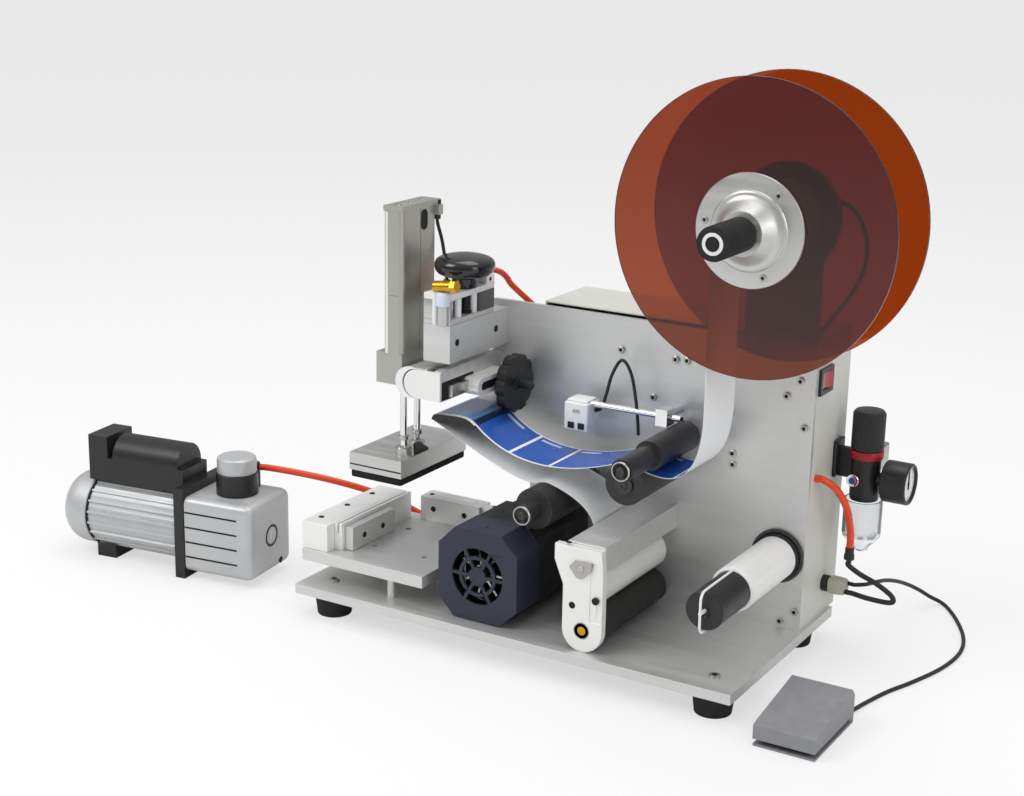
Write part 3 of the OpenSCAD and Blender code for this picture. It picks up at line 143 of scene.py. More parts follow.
DRIVE = finish("drive_rubber", "232221", rough=0.62, vary=0.15, scale=50, bump=0.25, bump_scale=900)
BLACK = finish("black_plastic", "202122", rough=0.38, vary=0.15, scale=50, bump=0.1, bump_scale=900)
GLOSSY = finish("glossy_bakelite", "161617", rough=0.16, vary=0.1, scale=40, coat=0.4, rough_vary=0.04)
NAVY = finish("navy_plastic", "2B2E40", rough=0.5, vary=0.08, scale=40, bump=0.35, bump_scale=1300)
DARK_STEEL = finish("dark_steel", "4A4A47", rough=0.4, metal=0.8, vary=0.15, scale=40)
MOTOR = finish("motor_black", "1E1F22", rough=0.45, vary=0.15, scale=40, bump=0.2, bump_scale=700)
SILVER = finish("cast_silver", "BFC0C1", rough=0.42, metal=0.35, vary=0.04, scale=35,
                bump=0.25, bump_scale=500)
ORANGE = finish("orange_hose", "E4481F", rough=0.3, vary=0.06, scale=60, coat=0.2, specular=0.4)
CABLE = finish("cable_sheath", "242425", rough=0.5, vary=0.15, scale=90, bump=0.15, bump_scale=1500)
CREAM = finish("cream_plastic", "B5B2A0", rough=0.5, vary=0.05, scale=60, bump=0.1, bump_scale=900)
PEDAL = finish("pedal_enamel", "8E8F93", rough=0.5, metal=0.15, vary=0.08, scale=90,
               bump=0.5, bump_scale=420)
LINER = finish("liner_paper", "F2F4F5", rough=0.42, vary=0.03, scale=20, specular=0.4)
PAPER = finish("wound_paper", "F0F0EE", rough=0.6, vary=0.04, scale=10, stretch=(40, 1, 40),
               bump=0.25, bump_scale=60)
BLUE = finish("label_blue", "2F5FB8", rough=0.22, vary=0.12, scale=26, coat=0.3)
BLUE_ROLL = finish("roll_blue", "2A54A8", rough=0.3, vary=0.15, scale=20, coat=0.2)
# The crest label's paler blue is a painted reflection; the dark navy over the gap before it is a painted dark
# reflection
CREST_REFLECTION_BLUE = finish("crest_blue_painted_reflection", "5B82B4", rough=0.2, vary=0.12, scale=26, coat=0.4)
CREST_GAP_DARK_REFLECTION = finish("crest_gap_painted_dark_reflection", "1A2C50", rough=0.3, vary=0.1, scale=40, coat=0.2)
PALE_BAR = finish("label_bar", "C9D8F2", rough=0.25, vary=0.04, scale=40, coat=0.3)
RED = finish("rocker_red", "A8121C", rough=0.22, vary=0.06, scale=60, coat=0.4)
RED_RING = finish("ring_red", "A01A20", rough=0.35, vary=0.06, scale=60)
PORT_BLUE = finish("port_blue", "2D4E9C", rough=0.3, vary=0.08, scale=80)
WHITE = finish("white_plastic", "EDEEEF", rough=0.4, vary=0.03, scale=60)
# Black for black parts such as screws, the needle and ticks, and painted shade in holes, recesses, slots and
# grooves
BLACK_AND_SHADE = finish("black_and_painted_shade", "141414", rough=0.7, vary=0.1, scale=60)
FOAM = finish("black_foam", "181818", rough=0.95, vary=0.25, scale=400, bump=0.9, bump_scale=900)
AMBER = finish("amber_acrylic", "963A10", rough=0.06, vary=0.03, scale=10, rough_vary=0.02,
               transmission=1.0, ior=1.49)
CLEAR = finish("clear_bowl", "F4F6F7", rough=0.06, vary=0.01, scale=20, rough_vary=0.02,
               transmission=0.92, ior=1.46)


# CAD nodes that stay

SHARP = math.radians(28)
WELD, FLAT = 1e-5, math.radians(0.6)


def dress(name, material, bevel):
    """Gives a CAD node its finish, and softens its edges with modifiers."""
    o = NODES[name]
    o.data.materials.clear()
    o.data.materials.append(material)
    own_normals = o.data.attributes.get("custom_normal")
    if own_normals:
        o.data.attributes.remove(own_normals)
    for p in o.data.polygons:
        p.use_smooth = True
        p.material_index = 0
    weld = o.modifiers.new("weld", "WELD")
    weld.merge_threshold = WELD
    flat = o.modifiers.new("flat", "DECIMATE")
    flat.decimate_type = "DISSOLVE"
    flat.angle_limit = FLAT
    edge = o.modifiers.new("edge", "BEVEL")
    edge.width = bevel * MM
    edge.segments = 2
    edge.limit_method = "ANGLE"
    edge.angle_limit = SHARP
    edge.use_clamp_overlap = True
    edge.harden_normals = True
    return o


DRESSED = [
    (PLATE, 0.8, "base_plate"), (PLATE, 0.5, "front_panel fixture_plate"),
    (PLATE, 0.6, "traction_block upper_arm lower_arm inner_fence"), (RUBBER, 1.2, "rubber_feet"),
    (RUBBER, 0.2, "drive_belts"), (PAINTED, 0.6, "rear_cover"),
    (STEEL, 0.3, "frame_screws motor_fan motor_pulley"), (STEEL, 0.4, "reel_shaft"),
    (STEEL, 0.5, "internal_units"), (DARK_STEEL, 0.4, "roller_supports"),
    (MILLED, 0.6, "reel_flanges pad_plate"), (MILLED, 0.5, "slide_block"), (AMBER, 0.4, "reel_discs"),
    (BLUE_ROLL, 0.3, "label_roll"), (LINER, 0, "label_web"), (BLACK, 0.2, "peel_plate"),
    (BLACK, 0.4, "rewind_mandrel panel_sockets"), (BLACK, 0.8, "star_knob regulator_knob"),
    (BLACK, 0.6, "regulator_body"), (BLACK, 0, "gauge_needle"), (BLACK, 1.5, "pump_frame"),
    (BLACK, 1.0, "pump_cap"), (ROLLER, 0.6, "guide_roller_a guide_roller_b guide_roller_c"),
    (NAVY, 1.6, "motor_cover"), (MOTOR, 1.0, "motor_body"), (BRIGHT, 0.8, "end_plate"),
    (BRIGHT, 0.5, "metal_roller"), (BRIGHT, 0.6, "sensor_block fixed_fences"),
    (DRIVE, 0.5, "rubber_roller"), (PAPER, 0.3, "liner_roll"), (CHROME, 0.5, "sensor_mount"),
    (CHROME, 0.3, "push_rods"), (CABLE, 0, "sensor_cable column_hose pedal_cable"),
    (GLOSSY, 0.5, "head_knob"), (GLOSSY, 0.2, "valve_lever"), (ANODISED, 0.4, "column"),
    (FOAM, 0.6, "pad_foam"), (ORANGE, 0, "machine_lines pump_hose"), (CLEAR, 0.4, "regulator_bowl"),
    (RED, 0.4, "power_rocker"), (PEDAL, 0.4, "pedal_base"), (PEDAL, 1.2, "pedal_tread"),
    (CREAM, 1.2, "pedal_plug"), (SILVER, 0.5, "pump_motor"), (SILVER, 2.0, "pump_oil_box"),
]
for material, width, names in DRESSED:
    for name in names.split():
        dress(name, material, width)

# The peel plate is one polished wedge; its upward faces take the bright finish as a painted highlight, and
# the rest keep black as painted shade
UPWARD = 0.2
plate = NODES["peel_plate"].data
plate.materials.append(BRIGHT)
for face in plate.polygons:
    if face.normal.z > UPWARD:
        face.material_index = 1


# pieces in mesh code

AXES = {"x": Vector((1, 0, 0)), "y": Vector((0, 1, 0)), "z": Vector((0, 0, 1))}
# An outline's two values are the two axes that aren't the named one
SPOTS = {"x": lambda p, t: (t, p[0], p[1]), "y": lambda p, t: (p[0], t, p[1]),
         "z": lambda p, t: (p[0], p[1], t)}


def add(a, b):
    return (a[0] + b[0], a[1] + b[1])


def aim(angle, length):
    return (length * math.cos(math.radians(angle)), length * math.sin(math.radians(angle)))


def turn(centre, radius, a0, a1, n):
    """Points of an arc, from angle a0 to a1 in n steps."""
    return [add(centre, aim(a0 + (a1 - a0) * k / n, radius)) for k in range(n + 1)]


def capsule(lo, hi, n=12):
    """The outline of a slot with round ends between two corners."""
    r = (hi[1] - lo[1]) / 2
    return turn((hi[0] - r, lo[1] + r), r, -90, 90, n) + turn((lo[0] + r, lo[1] + r), r, 90, 270, n)


def capsule_up(mid, r, z0, z1, n=12):
    """The outline of an upright slot with round ends."""
    return turn((mid, z1 - r), r, 0, 180, n) + turn((mid, z0 + r), r, 180, 360, n)


def half_oval(mid, reach, rise):
    """The left half of an oval, from its top to its bottom."""
    turns = (math.radians(90 + 10 * k) for k in range(19))
    return [(mid[0] + reach * math.cos(t), mid[1] + rise * math.sin(t)) for t in turns]


def circle(bm, mid, r, u, v, sides, start=0.0):
    """The points of a circle in the plane of u and v."""
    turns = (math.radians(start) + 2 * math.pi * k / sides for k in range(sides))
    return [bm.verts.new(mid + r * (math.cos(t) * u + math.sin(t) * v)) for t in turns]


def skin(bm, rings):
    """Faces between rings of points, and over both ends. A ring of one point is a tip."""
    sides = max(len(ring) for ring in rings)
    for lower, upper in zip(rings, rings[1:]):
        for k in range(sides):
            j = (k + 1) % sides
            corners = list(dict.fromkeys((lower[k % len(lower)], lower[j % len(lower)],
                                          upper[j % len(upper)], upper[k % len(upper)])))
            if len(corners) > 2:
                bm.faces.new(corners)
    for ring in (rings[0], rings[-1]):
        if len(ring) > 1:
            bm.faces.new(ring)


def soften(bm, width, segments):
    """Rounds a shape's sharp edges."""
    sharp = [e for e in bm.edges if e.is_manifold and e.calc_face_angle(0) > SHARP]
    if width > 0 and sharp:
        bmesh.ops.bevel(bm, geom=sharp, offset=width, offset_type="OFFSET", segments=segments,
                        profile=0.5, affect="EDGES", clamp_overlap=True)


class Piece:
    """Gathers shapes given in millimetres on the deck into one object that rides on a body."""

    def __init__(self, name, body=WHOLE, slot=None, replaces=()):
        self.name, self.body, self.slot, self.replaces = name, body, slot, replaces
        self.whole = bmesh.new()
        self.materials = []

    def add(self, bm, material):
        if material not in self.materials:
            self.materials.append(material)
        index = self.materials.index(material)
        bmesh.ops.recalc_face_normals(bm, faces=bm.faces)
        for f in bm.faces:
            f.material_index = index
            f.smooth = True
        mesh = bpy.data.meshes.new("part")
        bm.to_mesh(mesh)
        bm.free()
        self.whole.from_mesh(mesh)
        bpy.data.meshes.remove(mesh)
        return self

    def box(self, lo, hi, material, bevel=0.5, segments=2):
        bm = bmesh.new()
        bmesh.ops.create_cube(bm, size=1)
        size, mid = Vector(hi) - Vector(lo), (Vector(hi) + Vector(lo)) / 2
        for v in bm.verts:
            v.co = Vector((v.co[i] * size[i] for i in range(3)))
        soften(bm, bevel, segments)
        bmesh.ops.translate(bm, verts=bm.verts, vec=mid)
        return self.add(bm, material)

    def prism(self, outline, axis, a, b, material, bevel=0.4, segments=2):
        """A plate with the given outline, from a to b along the axis."""
        bm = bmesh.new()
        low = [bm.verts.new(SPOTS[axis](p, a)) for p in outline]
        high = [bm.verts.new(SPOTS[axis](p, b)) for p in outline]
        n = len(outline)
        bm.faces.new(low)
        bm.faces.new(list(reversed(high)))
        for i in range(n):
            bm.faces.new((low[i], low[(i + 1) % n], high[(i + 1) % n], high[i]))
        soften(bm, bevel, segments)
        return self.add(bm, material)

    def ring(self, outer, inner, axis, a, b, material):
        """A plate between two outlines of as many points."""
        spot = SPOTS[axis]
        rows = [[spot(o, a), spot(o, b), spot(i, b), spot(i, a), spot(o, a)]
                for o, i in zip(outer, inner)]
        return self.sheet(rows + rows[:1], material)

    def lathe(self, profile, at, axis, material, sides=48, start=0.0):
        """A turned shape. The profile is (radius, distance along the axis) from at."""
        bm = bmesh.new()
        along = AXES[axis]
        u = AXES["z" if axis != "z" else "x"]
        v = along.cross(u)
        rings = []
        for r, h in profile:
            mid = Vector(at) + along * h
            rings.append(circle(bm, mid, r, u, v, sides, start) if r > 0 else [bm.verts.new(mid)])
        skin(bm, rings)
        return self.add(bm, material)

    def rod(self, a, b, d, material, sides=32, edge=0.3):
        """A straight round bar between two points, with broken edges."""
        a, b = Vector(a), Vector(b)
        length = (b - a).length
        edge = min(edge, length / 3, d / 5)
        bm = bmesh.new()
        spin = (b - a).to_track_quat("Z", "Y")
        u, v, along = (spin @ AXES[k] for k in "xyz")
        profile = ((d / 2 - edge, 0), (d / 2, edge), (d / 2, length - edge), (d / 2 - edge, length))
        skin(bm, [circle(bm, a + along * h, r, u, v, sides) for r, h in profile])
        return self.add(bm, material)

    def tube(self, points, d, material, sides=16):
        """A round tube along points in millimetres, closed at both ends."""
        bm = bmesh.new()
        path = [Vector(p) for p in points]
        rings, normal = [], None
        for i, p in enumerate(path):
            t = (path[min(i + 1, len(path) - 1)] - path[max(i - 1, 0)]).normalized()
            if normal is None:
                normal = t.orthogonal().normalized()
            normal = (normal - t * normal.dot(t)).normalized()
            rings.append(circle(bm, p, d / 2, normal, t.cross(normal), sides))
        skin(bm, rings)
        return self.add(bm, material)

    def sheet(self, rows, material):
        """A surface through rows of points."""
        bm = bmesh.new()
        grid = [[bm.verts.new(p) for p in row] for row in rows]
        for a, b in zip(grid, grid[1:]):
            for k in range(len(a) - 1):
                bm.faces.new((a[k], a[k + 1], b[k + 1], b[k]))
        return self.add(bm, material)

    def screw(self, at, axis, d, h, direction, socket, material):
        """A socket screw's head: a turned cap with a hexagonal recess, whose inside is painted black as
        painted shade.
        """
        r = d / 2
        recess = 1.15 * r * socket
        s = direction
        self.lathe([(0, 0), (r * 0.97, 0), (r, 0.2 * s), (r, s * (h - 0.35)), (r * 0.86, s * h),
                    (recess, s * h), (recess, s * h * 0.98)], at, axis, material, 24)
        self.lathe([(recess, s * h), (recess, s * h * 0.35), (0, s * h * 0.35)], at, axis, BLACK_AND_SHADE, 6)

    def done(self, sharp=32):
        mesh = bpy.data.meshes.new(self.name)
        self.whole.to_mesh(mesh)
        self.whole.free()
        mesh.transform(Matrix.Diagonal((MM, MM, MM, 1)) @ Matrix.Translation(DECK))
        for m in self.materials:
            mesh.materials.append(m)
        mesh.set_sharp_from_angle(angle=math.radians(sharp))
        o = bpy.data.objects.new(self.name, mesh)
        bpy.context.scene.collection.objects.link(o)
        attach(o, self.body)
        if self.replaces:
            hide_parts(*self.replaces)
        return o


def curve_point(a, b, c, d, t):
    return 0.5 * (2 * b + (c - a) * t + (2 * a - 5 * b + 4 * c - d) * t * t
                  + (3 * b - a - 3 * c + d) * t ** 3)


def smooth(points, n):
    """The route's points joined by one smooth curve, n steps between two points."""
    p = [Vector(x) for x in points]
    last = len(p) - 1
    out = [curve_point(p[max(i - 1, 0)], p[i], p[i + 1], p[min(i + 2, last)], k / n)
           for i in range(last) for k in range(n)]
    return out + [p[last]]


# camera

# The camera's place on the deck in millimetres, its direction and its lens, fitted to the photograph.
CAMERA_AT = (1030.63, -1323.05, 663.78)
AZIMUTH, ELEVATION, ROLL = 30.62, 15.68, 1.12
FOCAL_PX, PHOTO_W = 1781.77, 1024
SENSOR = 36.0


def make_camera():
    data = bpy.data.cameras.new("camera")
    data.sensor_width = SENSOR
    data.lens = FOCAL_PX * SENSOR / PHOTO_W
    data.clip_start, data.clip_end = 0.05, 60
    cam = bpy.data.objects.new("camera", data)
    bpy.context.scene.collection.objects.link(cam)
    a, e, r = (math.radians(v) for v in (AZIMUTH, ELEVATION, ROLL))
    back = Vector((math.sin(a) * math.cos(e), -math.cos(a) * math.cos(e), math.sin(e)))
    right = Vector((math.cos(a), math.sin(a), 0))
    up = back.cross(right)
    right, up = right * math.cos(r) + up * math.sin(r), up * math.cos(r) - right * math.sin(r)
    cam.matrix_world = Matrix.Translation(place(*CAMERA_AT)) @ Matrix((right, up, back)).transposed().to_4x4()
    bpy.context.scene.camera = cam


make_camera()


# cords and hoses

CABLE_D, HOSE_D = 4, 7


def cord(name, points, d, material, body, nodes, slot="cable_black"):
    """A hose or cable along a route."""
    path = smooth(points, 8)
    piece = Piece(name, body, slot, nodes).tube(path, d, material).done(60)


SENSOR_ROUTE = [(258.3, 141, 190), (264, 141, 192), (269, 141, 206), (275, 141, 228), (285, 141, 243),
                (295, 141, 231), (301, 141, 206), (304, 141, 184), (305, 141, 172)]
COLUMN_ROUTE = [(90, 117, 366), (90, 117, 358), (94, 119, 341), (98, 118, 325), (102, 115, 314),
                (106, 110, 303.5)]
SIDE_ROUTE = [(470.3, 182, 148), (474, 182, 148), (478, 182, 148), (489, 190, 138), (496, 201, 118),
              (498, 209, 96), (498, 212, 84), (498, 212, 80), (498, 212, 76.3)]
LEAD_ROUTE = [(498, 212, 63.7), (498, 212, 61), (498, 212, 58), (508, 216, 50), (524, 220, 42),
              (538, 222, 33), (541, 222, 27), (534, 221, 25), (516, 219, 26), (502, 218, 28),
              (498, 218, 28), (494.3, 218, 28)]
REEL_ROUTE = [(467.5, 161, 407), (476, 161, 411), (490, 161, 411), (503, 161, 400), (511, 161, 382),
              (512, 161, 364), (506, 161, 342), (494, 163, 322), (482, 167, 306), (474, 175, 295),
              (467, 180, 289), (466, 182, 286), (466, 182, 282.3)]
HEAD_ROUTE = [(105, 116.2, 297.5), (105, 124, 298), (107, 135, 301), (114, 146, 306), (127, 153, 309.5),
              (138, 156, 308.5), (142, 163, 302), (144, 168, 295), (149, 175, 286.5), (156, 181, 278),
              (163, 186, 270), (171, 190, 264), (178, 192, 262), (184, 192, 262)]
PEDAL_ROUTE = [(494.3, 226, 34), (497, 226, 34), (501, 226, 34), (509, 236, 33), (512, 262, 28),
               (512, 290, 20), (514, 318, 10), (517, 345, -2), (522, 365, -13), (530, 380, -24),
               (540, 386, -30), (552, 375, -31.5), (568, 350, -31.5), (584, 318, -31.5),
               (593, 288, -31.5), (595, 258, -31.5), (590, 222, -31.5), (578, 182, -31.5),
               (566, 150, -31.5), (558, 120, -31.5), (554, 96, -30.5), (553, 84, -29.5),
               (553, 79.3, -29.5)]
PUMP_ROUTE = [(-115, 91, 77), (-104, 94, 77), (-77, 107, 73), (-45, 124, 66), (-16, 147, 54),
              (8, 168, 40), (32, 184, 24), (60, 194, 10), (95, 200, 5), (130, 204, 5),
              (160, 206, 8), (181, 206, 12)]

cord("sensor_lead", SENSOR_ROUTE, CABLE_D * 0.8, CABLE, "sensor", ["sensor_cable"])
cord("press_hose", COLUMN_ROUTE, CABLE_D * 0.85, CABLE, "arm", ["column_hose"])
cord("side_hose", SIDE_ROUTE, HOSE_D, ORANGE, WHOLE, ["machine_lines"], "hose_orange")
cord("thick_lead", LEAD_ROUTE, CABLE_D + 1, CABLE, WHOLE, ["machine_lines"])
cord("reel_lead", REEL_ROUTE, CABLE_D, CABLE, WHOLE, ["machine_lines"])
cord("head_hose", HEAD_ROUTE, HOSE_D - 1, ORANGE, WHOLE, ["machine_lines"], "hose_orange")
cord("pedal_lead", PEDAL_ROUTE, CABLE_D, CABLE, WHOLE, ["pedal_cable"])
cord("pump_line", PUMP_ROUTE, HOSE_D, ORANGE, WHOLE, ["pump_hose"], "hose_orange")


# label web

def bezier(a, b, c, d, n):
    out = []
    for k in range(n + 1):
        t = k / n
        s = 1 - t
        out.append(tuple(s ** 3 * a[i] + 3 * s * s * t * b[i] + 3 * s * t * t * c[i] + t ** 3 * d[i]
                         for i in (0, 1)))
    return out


REEL_AXIS = (440.6, 395.5)
ROLLER_A, ROLLER_B, ROLLER_C = (349, 176), (244, 111.5), (328, 146)
DRIVE_AXIS, PINCH_AXIS, REWIND_AXIS = (320, 20.5), (317, 57.3), (444, 71)
ROLL_D, WEB_W, WEB_Y = 74, 66, 72
SMALL_R, LARGE_R, PINCH_R = 14.5, 20, 18.5
# How far the web's centre line lies over the rollers
RIDE = 0.5


def web_path():
    """The web's centre line in two parts: label roll to peel tip, and back to the nip."""
    run_a, run_b, run_p = SMALL_R + RIDE, LARGE_R + RIDE, PINCH_R + RIDE
    web_x = REEL_AXIS[0] - ROLL_D / 2 - RIDE
    dx, dz = ROLLER_A[0] - ROLLER_C[0], ROLLER_A[1] - ROLLER_C[1]
    pass_angle = math.degrees(math.atan2(dz, dx) + math.acos((run_a + run_b) / math.hypot(dx, dz)))
    leave_a, meet_c, leave_b, meet_b = 256, 112, 75, 112
    from_a, from_c = add(ROLLER_A, aim(leave_a, run_a)), add(ROLLER_C, aim(meet_c, run_b))
    foot, tip, crest = (165, 175), (114.4, 173.2), 180.6
    roll_leg = bezier((web_x, 225), (web_x, 150), add(from_a, aim(leave_a + 90, 22)), from_a, 28)
    sag_leg = bezier(from_c, add(from_c, aim(meet_c + 90, 62)), add(foot, aim(-41, 53)), foot, 36)
    peel_leg = (bezier(foot, add(foot, aim(139, 53 / 4)), (foot[0] - 19, crest), (130, crest), 12)
                + bezier((130, crest), (122, crest), (tip[0], tip[1] + 6), tip, 10)[1:])
    under = (tip[0] + 0.7, tip[1] - 0.7)
    on_b, off_b = add(ROLLER_B, aim(meet_b, run_b)), add(ROLLER_B, aim(leave_b, run_b))
    pinch_x = PINCH_AXIS[0] - run_p
    liner_leg = bezier((under[0] + 0.7, under[1]), add(under, aim(-25, 62)),
                       add(on_b, aim(meet_b + 90, 62 / 3)), on_b, 24)
    down_leg = bezier(off_b, add(off_b, aim(leave_b - 90, 53 / 2)), (pinch_x, 113), (pinch_x, 90), 20)
    to_tip = ([(web_x, REEL_AXIS[1]), (web_x, 300)] + roll_leg
              + turn(ROLLER_A, run_a, leave_a - 3, pass_angle + 180, 2)
              + turn(ROLLER_C, run_b, pass_angle, meet_c, 10) + sag_leg[1:] + peel_leg[1:])
    back = ([under] + liner_leg + turn(ROLLER_B, run_b, meet_b - 6, leave_b, 10) + down_leg[1:]
            + turn(PINCH_AXIS, run_p, 180, 262, 16)[1:])
    return to_tip, back


def headings(path):
    out = []
    for i in range(len(path)):
        a, b = path[max(i - 1, 0)], path[min(i + 1, len(path) - 1)]
        n = math.hypot(b[0] - a[0], b[1] - a[1]) or 1
        out.append(((b[0] - a[0]) / n, (b[1] - a[1]) / n))
    return out


def lengths(path):
    out = [0.0]
    for a, b in zip(path, path[1:]):
        out.append(out[-1] + math.hypot(b[0] - a[0], b[1] - a[1]))
    return out


TO_TIP, BACK = web_path()
PATH = TO_TIP + BACK
SIDE = headings(PATH)
RUN = lengths(PATH)


def on_web(s, lift):
    """The point at s along the web, lifted from its centre line towards the printed side."""
    s = min(max(s, 0), RUN[-1] - 1e-6)
    i = max(k for k in range(len(RUN) - 1) if RUN[k] <= s)
    t = (s - RUN[i]) / max(RUN[i + 1] - RUN[i], 1e-9)
    x = PATH[i][0] + (PATH[i + 1][0] - PATH[i][0]) * t
    z = PATH[i][1] + (PATH[i + 1][1] - PATH[i][1]) * t
    hx = SIDE[i][0] + (SIDE[i + 1][0] - SIDE[i][0]) * t
    hz = SIDE[i][1] + (SIDE[i + 1][1] - SIDE[i][1]) * t
    return x + hz * lift, z - hx * lift


LINER_T, LABEL_T = 0.24, 0.1
LABEL_PITCH, LABEL_GAP, LABEL_EDGE = 44.5, 3.2, 2.2
FIRST_GAP = 423.5
BAR_LONG, BAR_WIDE = 22, 4.6


FIRST_LABEL, SKIPPED_LABEL = -10, -2
LINER_END = 9
# The reach of the painted dark reflection band, behind and over the crest label's start
REFLECTION_BAND_BACK, REFLECTION_BAND_OVER = LABEL_GAP + 1, 3
BAR_BACK, BAR_AHEAD = 4.5, 3
STEPS = 14


def print_rows(a, b, y0, y1, low, high):
    """A print's sides and face along the web, from a to b."""
    rows = []
    for k in range(STEPS + 1):
        s = a + (b - a) * k / STEPS
        top, bottom = on_web(s, high), on_web(s, low)
        rows.append([(bottom[0], y0, bottom[1]), (top[0], y0, top[1]), (top[0], y1, top[1]),
                     (bottom[0], y1, bottom[1])])
    return rows


def web_pieces():
    front, back = WEB_Y, WEB_Y + WEB_W
    half = LINER_T / 2
    rows = []
    for (x, z), (hx, hz) in zip(PATH, SIDE):
        o, i = (x + hz * half, z - hx * half), (x - hz * half, z + hx * half)
        rows.append([(o[0], front, o[1]), (o[0], back, o[1]), (i[0], back, i[1]),
                     (i[0], front, i[1]), (o[0], front, o[1])])
    web = Piece("web_liner", WHOLE, "paper", ["label_web"])
    web.sheet(rows, LINER)
    web.done(60)
    prints = Piece("web_labels", WHOLE, "label")
    face, front, back = half + LABEL_T, front + LABEL_EDGE, back - LABEL_EDGE
    gaps = [FIRST_GAP + LABEL_PITCH * k for k in range(FIRST_LABEL, 2) if k != SKIPPED_LABEL]
    gaps.append(RUN[len(TO_TIP) - 1] - LINER_END)
    for here, after in zip(gaps, gaps[1:]):
        s0, s1 = here + LABEL_GAP / 2, after - LABEL_GAP / 2
        if s0 < 0:
            continue
        crest = after == gaps[-1]
        # The crest label takes the paler blue: a painted reflection
        prints.sheet(print_rows(s0, s1, front, back, half, face), CREST_REFLECTION_BLUE if crest else BLUE)
        if crest:
            # A dark navy band over the gap before the crest label: a painted dark reflection
            prints.sheet(print_rows(s0 - REFLECTION_BAND_BACK, s0 + REFLECTION_BAND_OVER, front, back, half,
                                    face + 0.03), CREST_GAP_DARK_REFLECTION)
        else:
            prints.sheet(print_rows(max(s0 + 2, s1 - BAR_AHEAD - BAR_LONG), s1 - BAR_AHEAD,
                                    back - BAR_BACK - BAR_WIDE, back - BAR_BACK, face,
                                    face + 0.04), PALE_BAR)
    prints.done(60)


web_pieces()


# frame screws

PANEL_LEFT, PANEL_RIGHT, PANEL_H, PANEL_Y, PANEL_BACK = 125.5, 470, 278, 167, 172
SCREW_SHARES = [(0.591, 0.881), (0.626, 0.883), (0.527, 0.734), (0.422, 0.885), (0.959, 0.874),
                (0.922, 0.817), (0.977, 0.716), (0.775, 0.586), (0.777, 0.547), (0.983, 0.065),
                (0.942, 0.022)]
FEET = [(28, 28), (28, 214), (446, 28), (446, 214)]


def frame_screws():
    p = Piece("screw_set", WHOLE, "steel", ["frame_screws"])
    for u, v in SCREW_SHARES:
        x, z = PANEL_LEFT + u * (PANEL_RIGHT - PANEL_LEFT), v * PANEL_H
        p.screw((x, PANEL_Y, z), "y", 7, 2.5, -1, 0.52, STEEL)
        p.rod((x, PANEL_BACK - 1, z), (x, PANEL_BACK + 2.5, z), 4, STEEL, 16)
    for x, y in FEET:
        p.screw((x, y, 0), "z", 10, 2.5, 1, 0.5, STEEL)
    p.done()


frame_screws()


# label reel

def reel_pieces():
    x, z = REEL_AXIS
    shaft = Piece("reel_spindle", "reel", "steel", ["reel_shaft"])
    shaft.lathe([(6.4, -11), (6.4, -11.1), (9.4, -11.1), (10, -10.5), (10, 184), (0, 184)],
                (x, 0, z), "y", BRIGHT)
    # The hex hole in the spindle's end is painted black as painted shade
    shaft.lathe([(6.4, -11.2), (5.6, -9.5), (5.6, -1), (0, -1)], (x, 0, z), "y", BLACK_AND_SHADE, 6, 30)
    shaft.lathe([(10.1, -11), (13.6, -11), (14.7, -10.4), (15, -9), (15, 43.6), (14.6, 44.8), (10.1, 45)],
                (x, 0, z), "y", RUBBER, 64)
    shaft.lathe([(10.1, 172.4), (16.4, 172.4), (17, 173), (17, 177.8), (16.4, 178.4), (10.1, 178.4)],
                (x, 0, z), "y", STEEL, 48)
    shaft.done()
    hub = Piece("reel_hub_front", "reel", "plate_aluminium", ["reel_flanges"])
    hub.lathe([(15.2, 45), (19.4, 45), (20, 45.5), (26.8, 56.4), (29.6, 58.6), (31.5, 59.4),
               (33.5, 59.4), (34.4, 60), (34.8, 61.2), (35.6, 61.9), (47.6, 62), (49.4, 62.3),
               (50, 63.2), (50, 65), (10.1, 65)], (x, 0, z), "y", MILLED, 96)
    for a in (38, 158, 278):
        sx, sz = add(REEL_AXIS, aim(90 - a, 41.5))
        hub.screw((sx, 62, sz), "y", 6, 1.4, -1, 0.5, STEEL)
    hub.lathe([(10.1, 68), (25, 68), (25, 148), (50, 148), (50, 155), (49, 156), (10.1, 156)],
              (x, 0, z), "y", MILLED, 96)
    hub.done()
    roll = Piece("label_roll_wound", "reel", "label", ["label_roll"])
    core, first, layers = 25.1, 25.4, 16
    front, back = WEB_Y, WEB_Y + WEB_W
    profile = [(core, front)]
    for k in range(layers + 1):
        r = first + (ROLL_D / 2 - first) * k / layers
        edges = (front + 0.15, front) if k % 2 else (front, front + 0.15)
        profile += list(zip((r - 0.3, r), edges))
    side = [(r, front + back - y) for r, y in reversed(profile)]
    roll.lathe(profile, (x, 0, z), "y", PAPER, 96)
    roll.lathe([(ROLL_D / 2, front), (ROLL_D / 2, back)], (x, 0, z), "y", BLUE_ROLL, 96)
    roll.lathe(side, (x, 0, z), "y", PAPER, 96)
    roll.done()


reel_pieces()


# head

def ring_outline(radius, lobes, depth, centre, n=240):
    """A scalloped circle."""
    out = []
    for k in range(n):
        t = 2 * math.pi * k / n
        r = radius - depth * (1 - abs(math.cos(lobes * t / 2)) ** 0.7)
        out.append((centre[0] + r * math.cos(t), centre[1] + r * math.sin(t)))
    return out


WHEEL_AT = (133, 100, 0)
STAR_AT = (134, 204.5)
COLUMN_X, ROD_YS = 80, (74, 98)


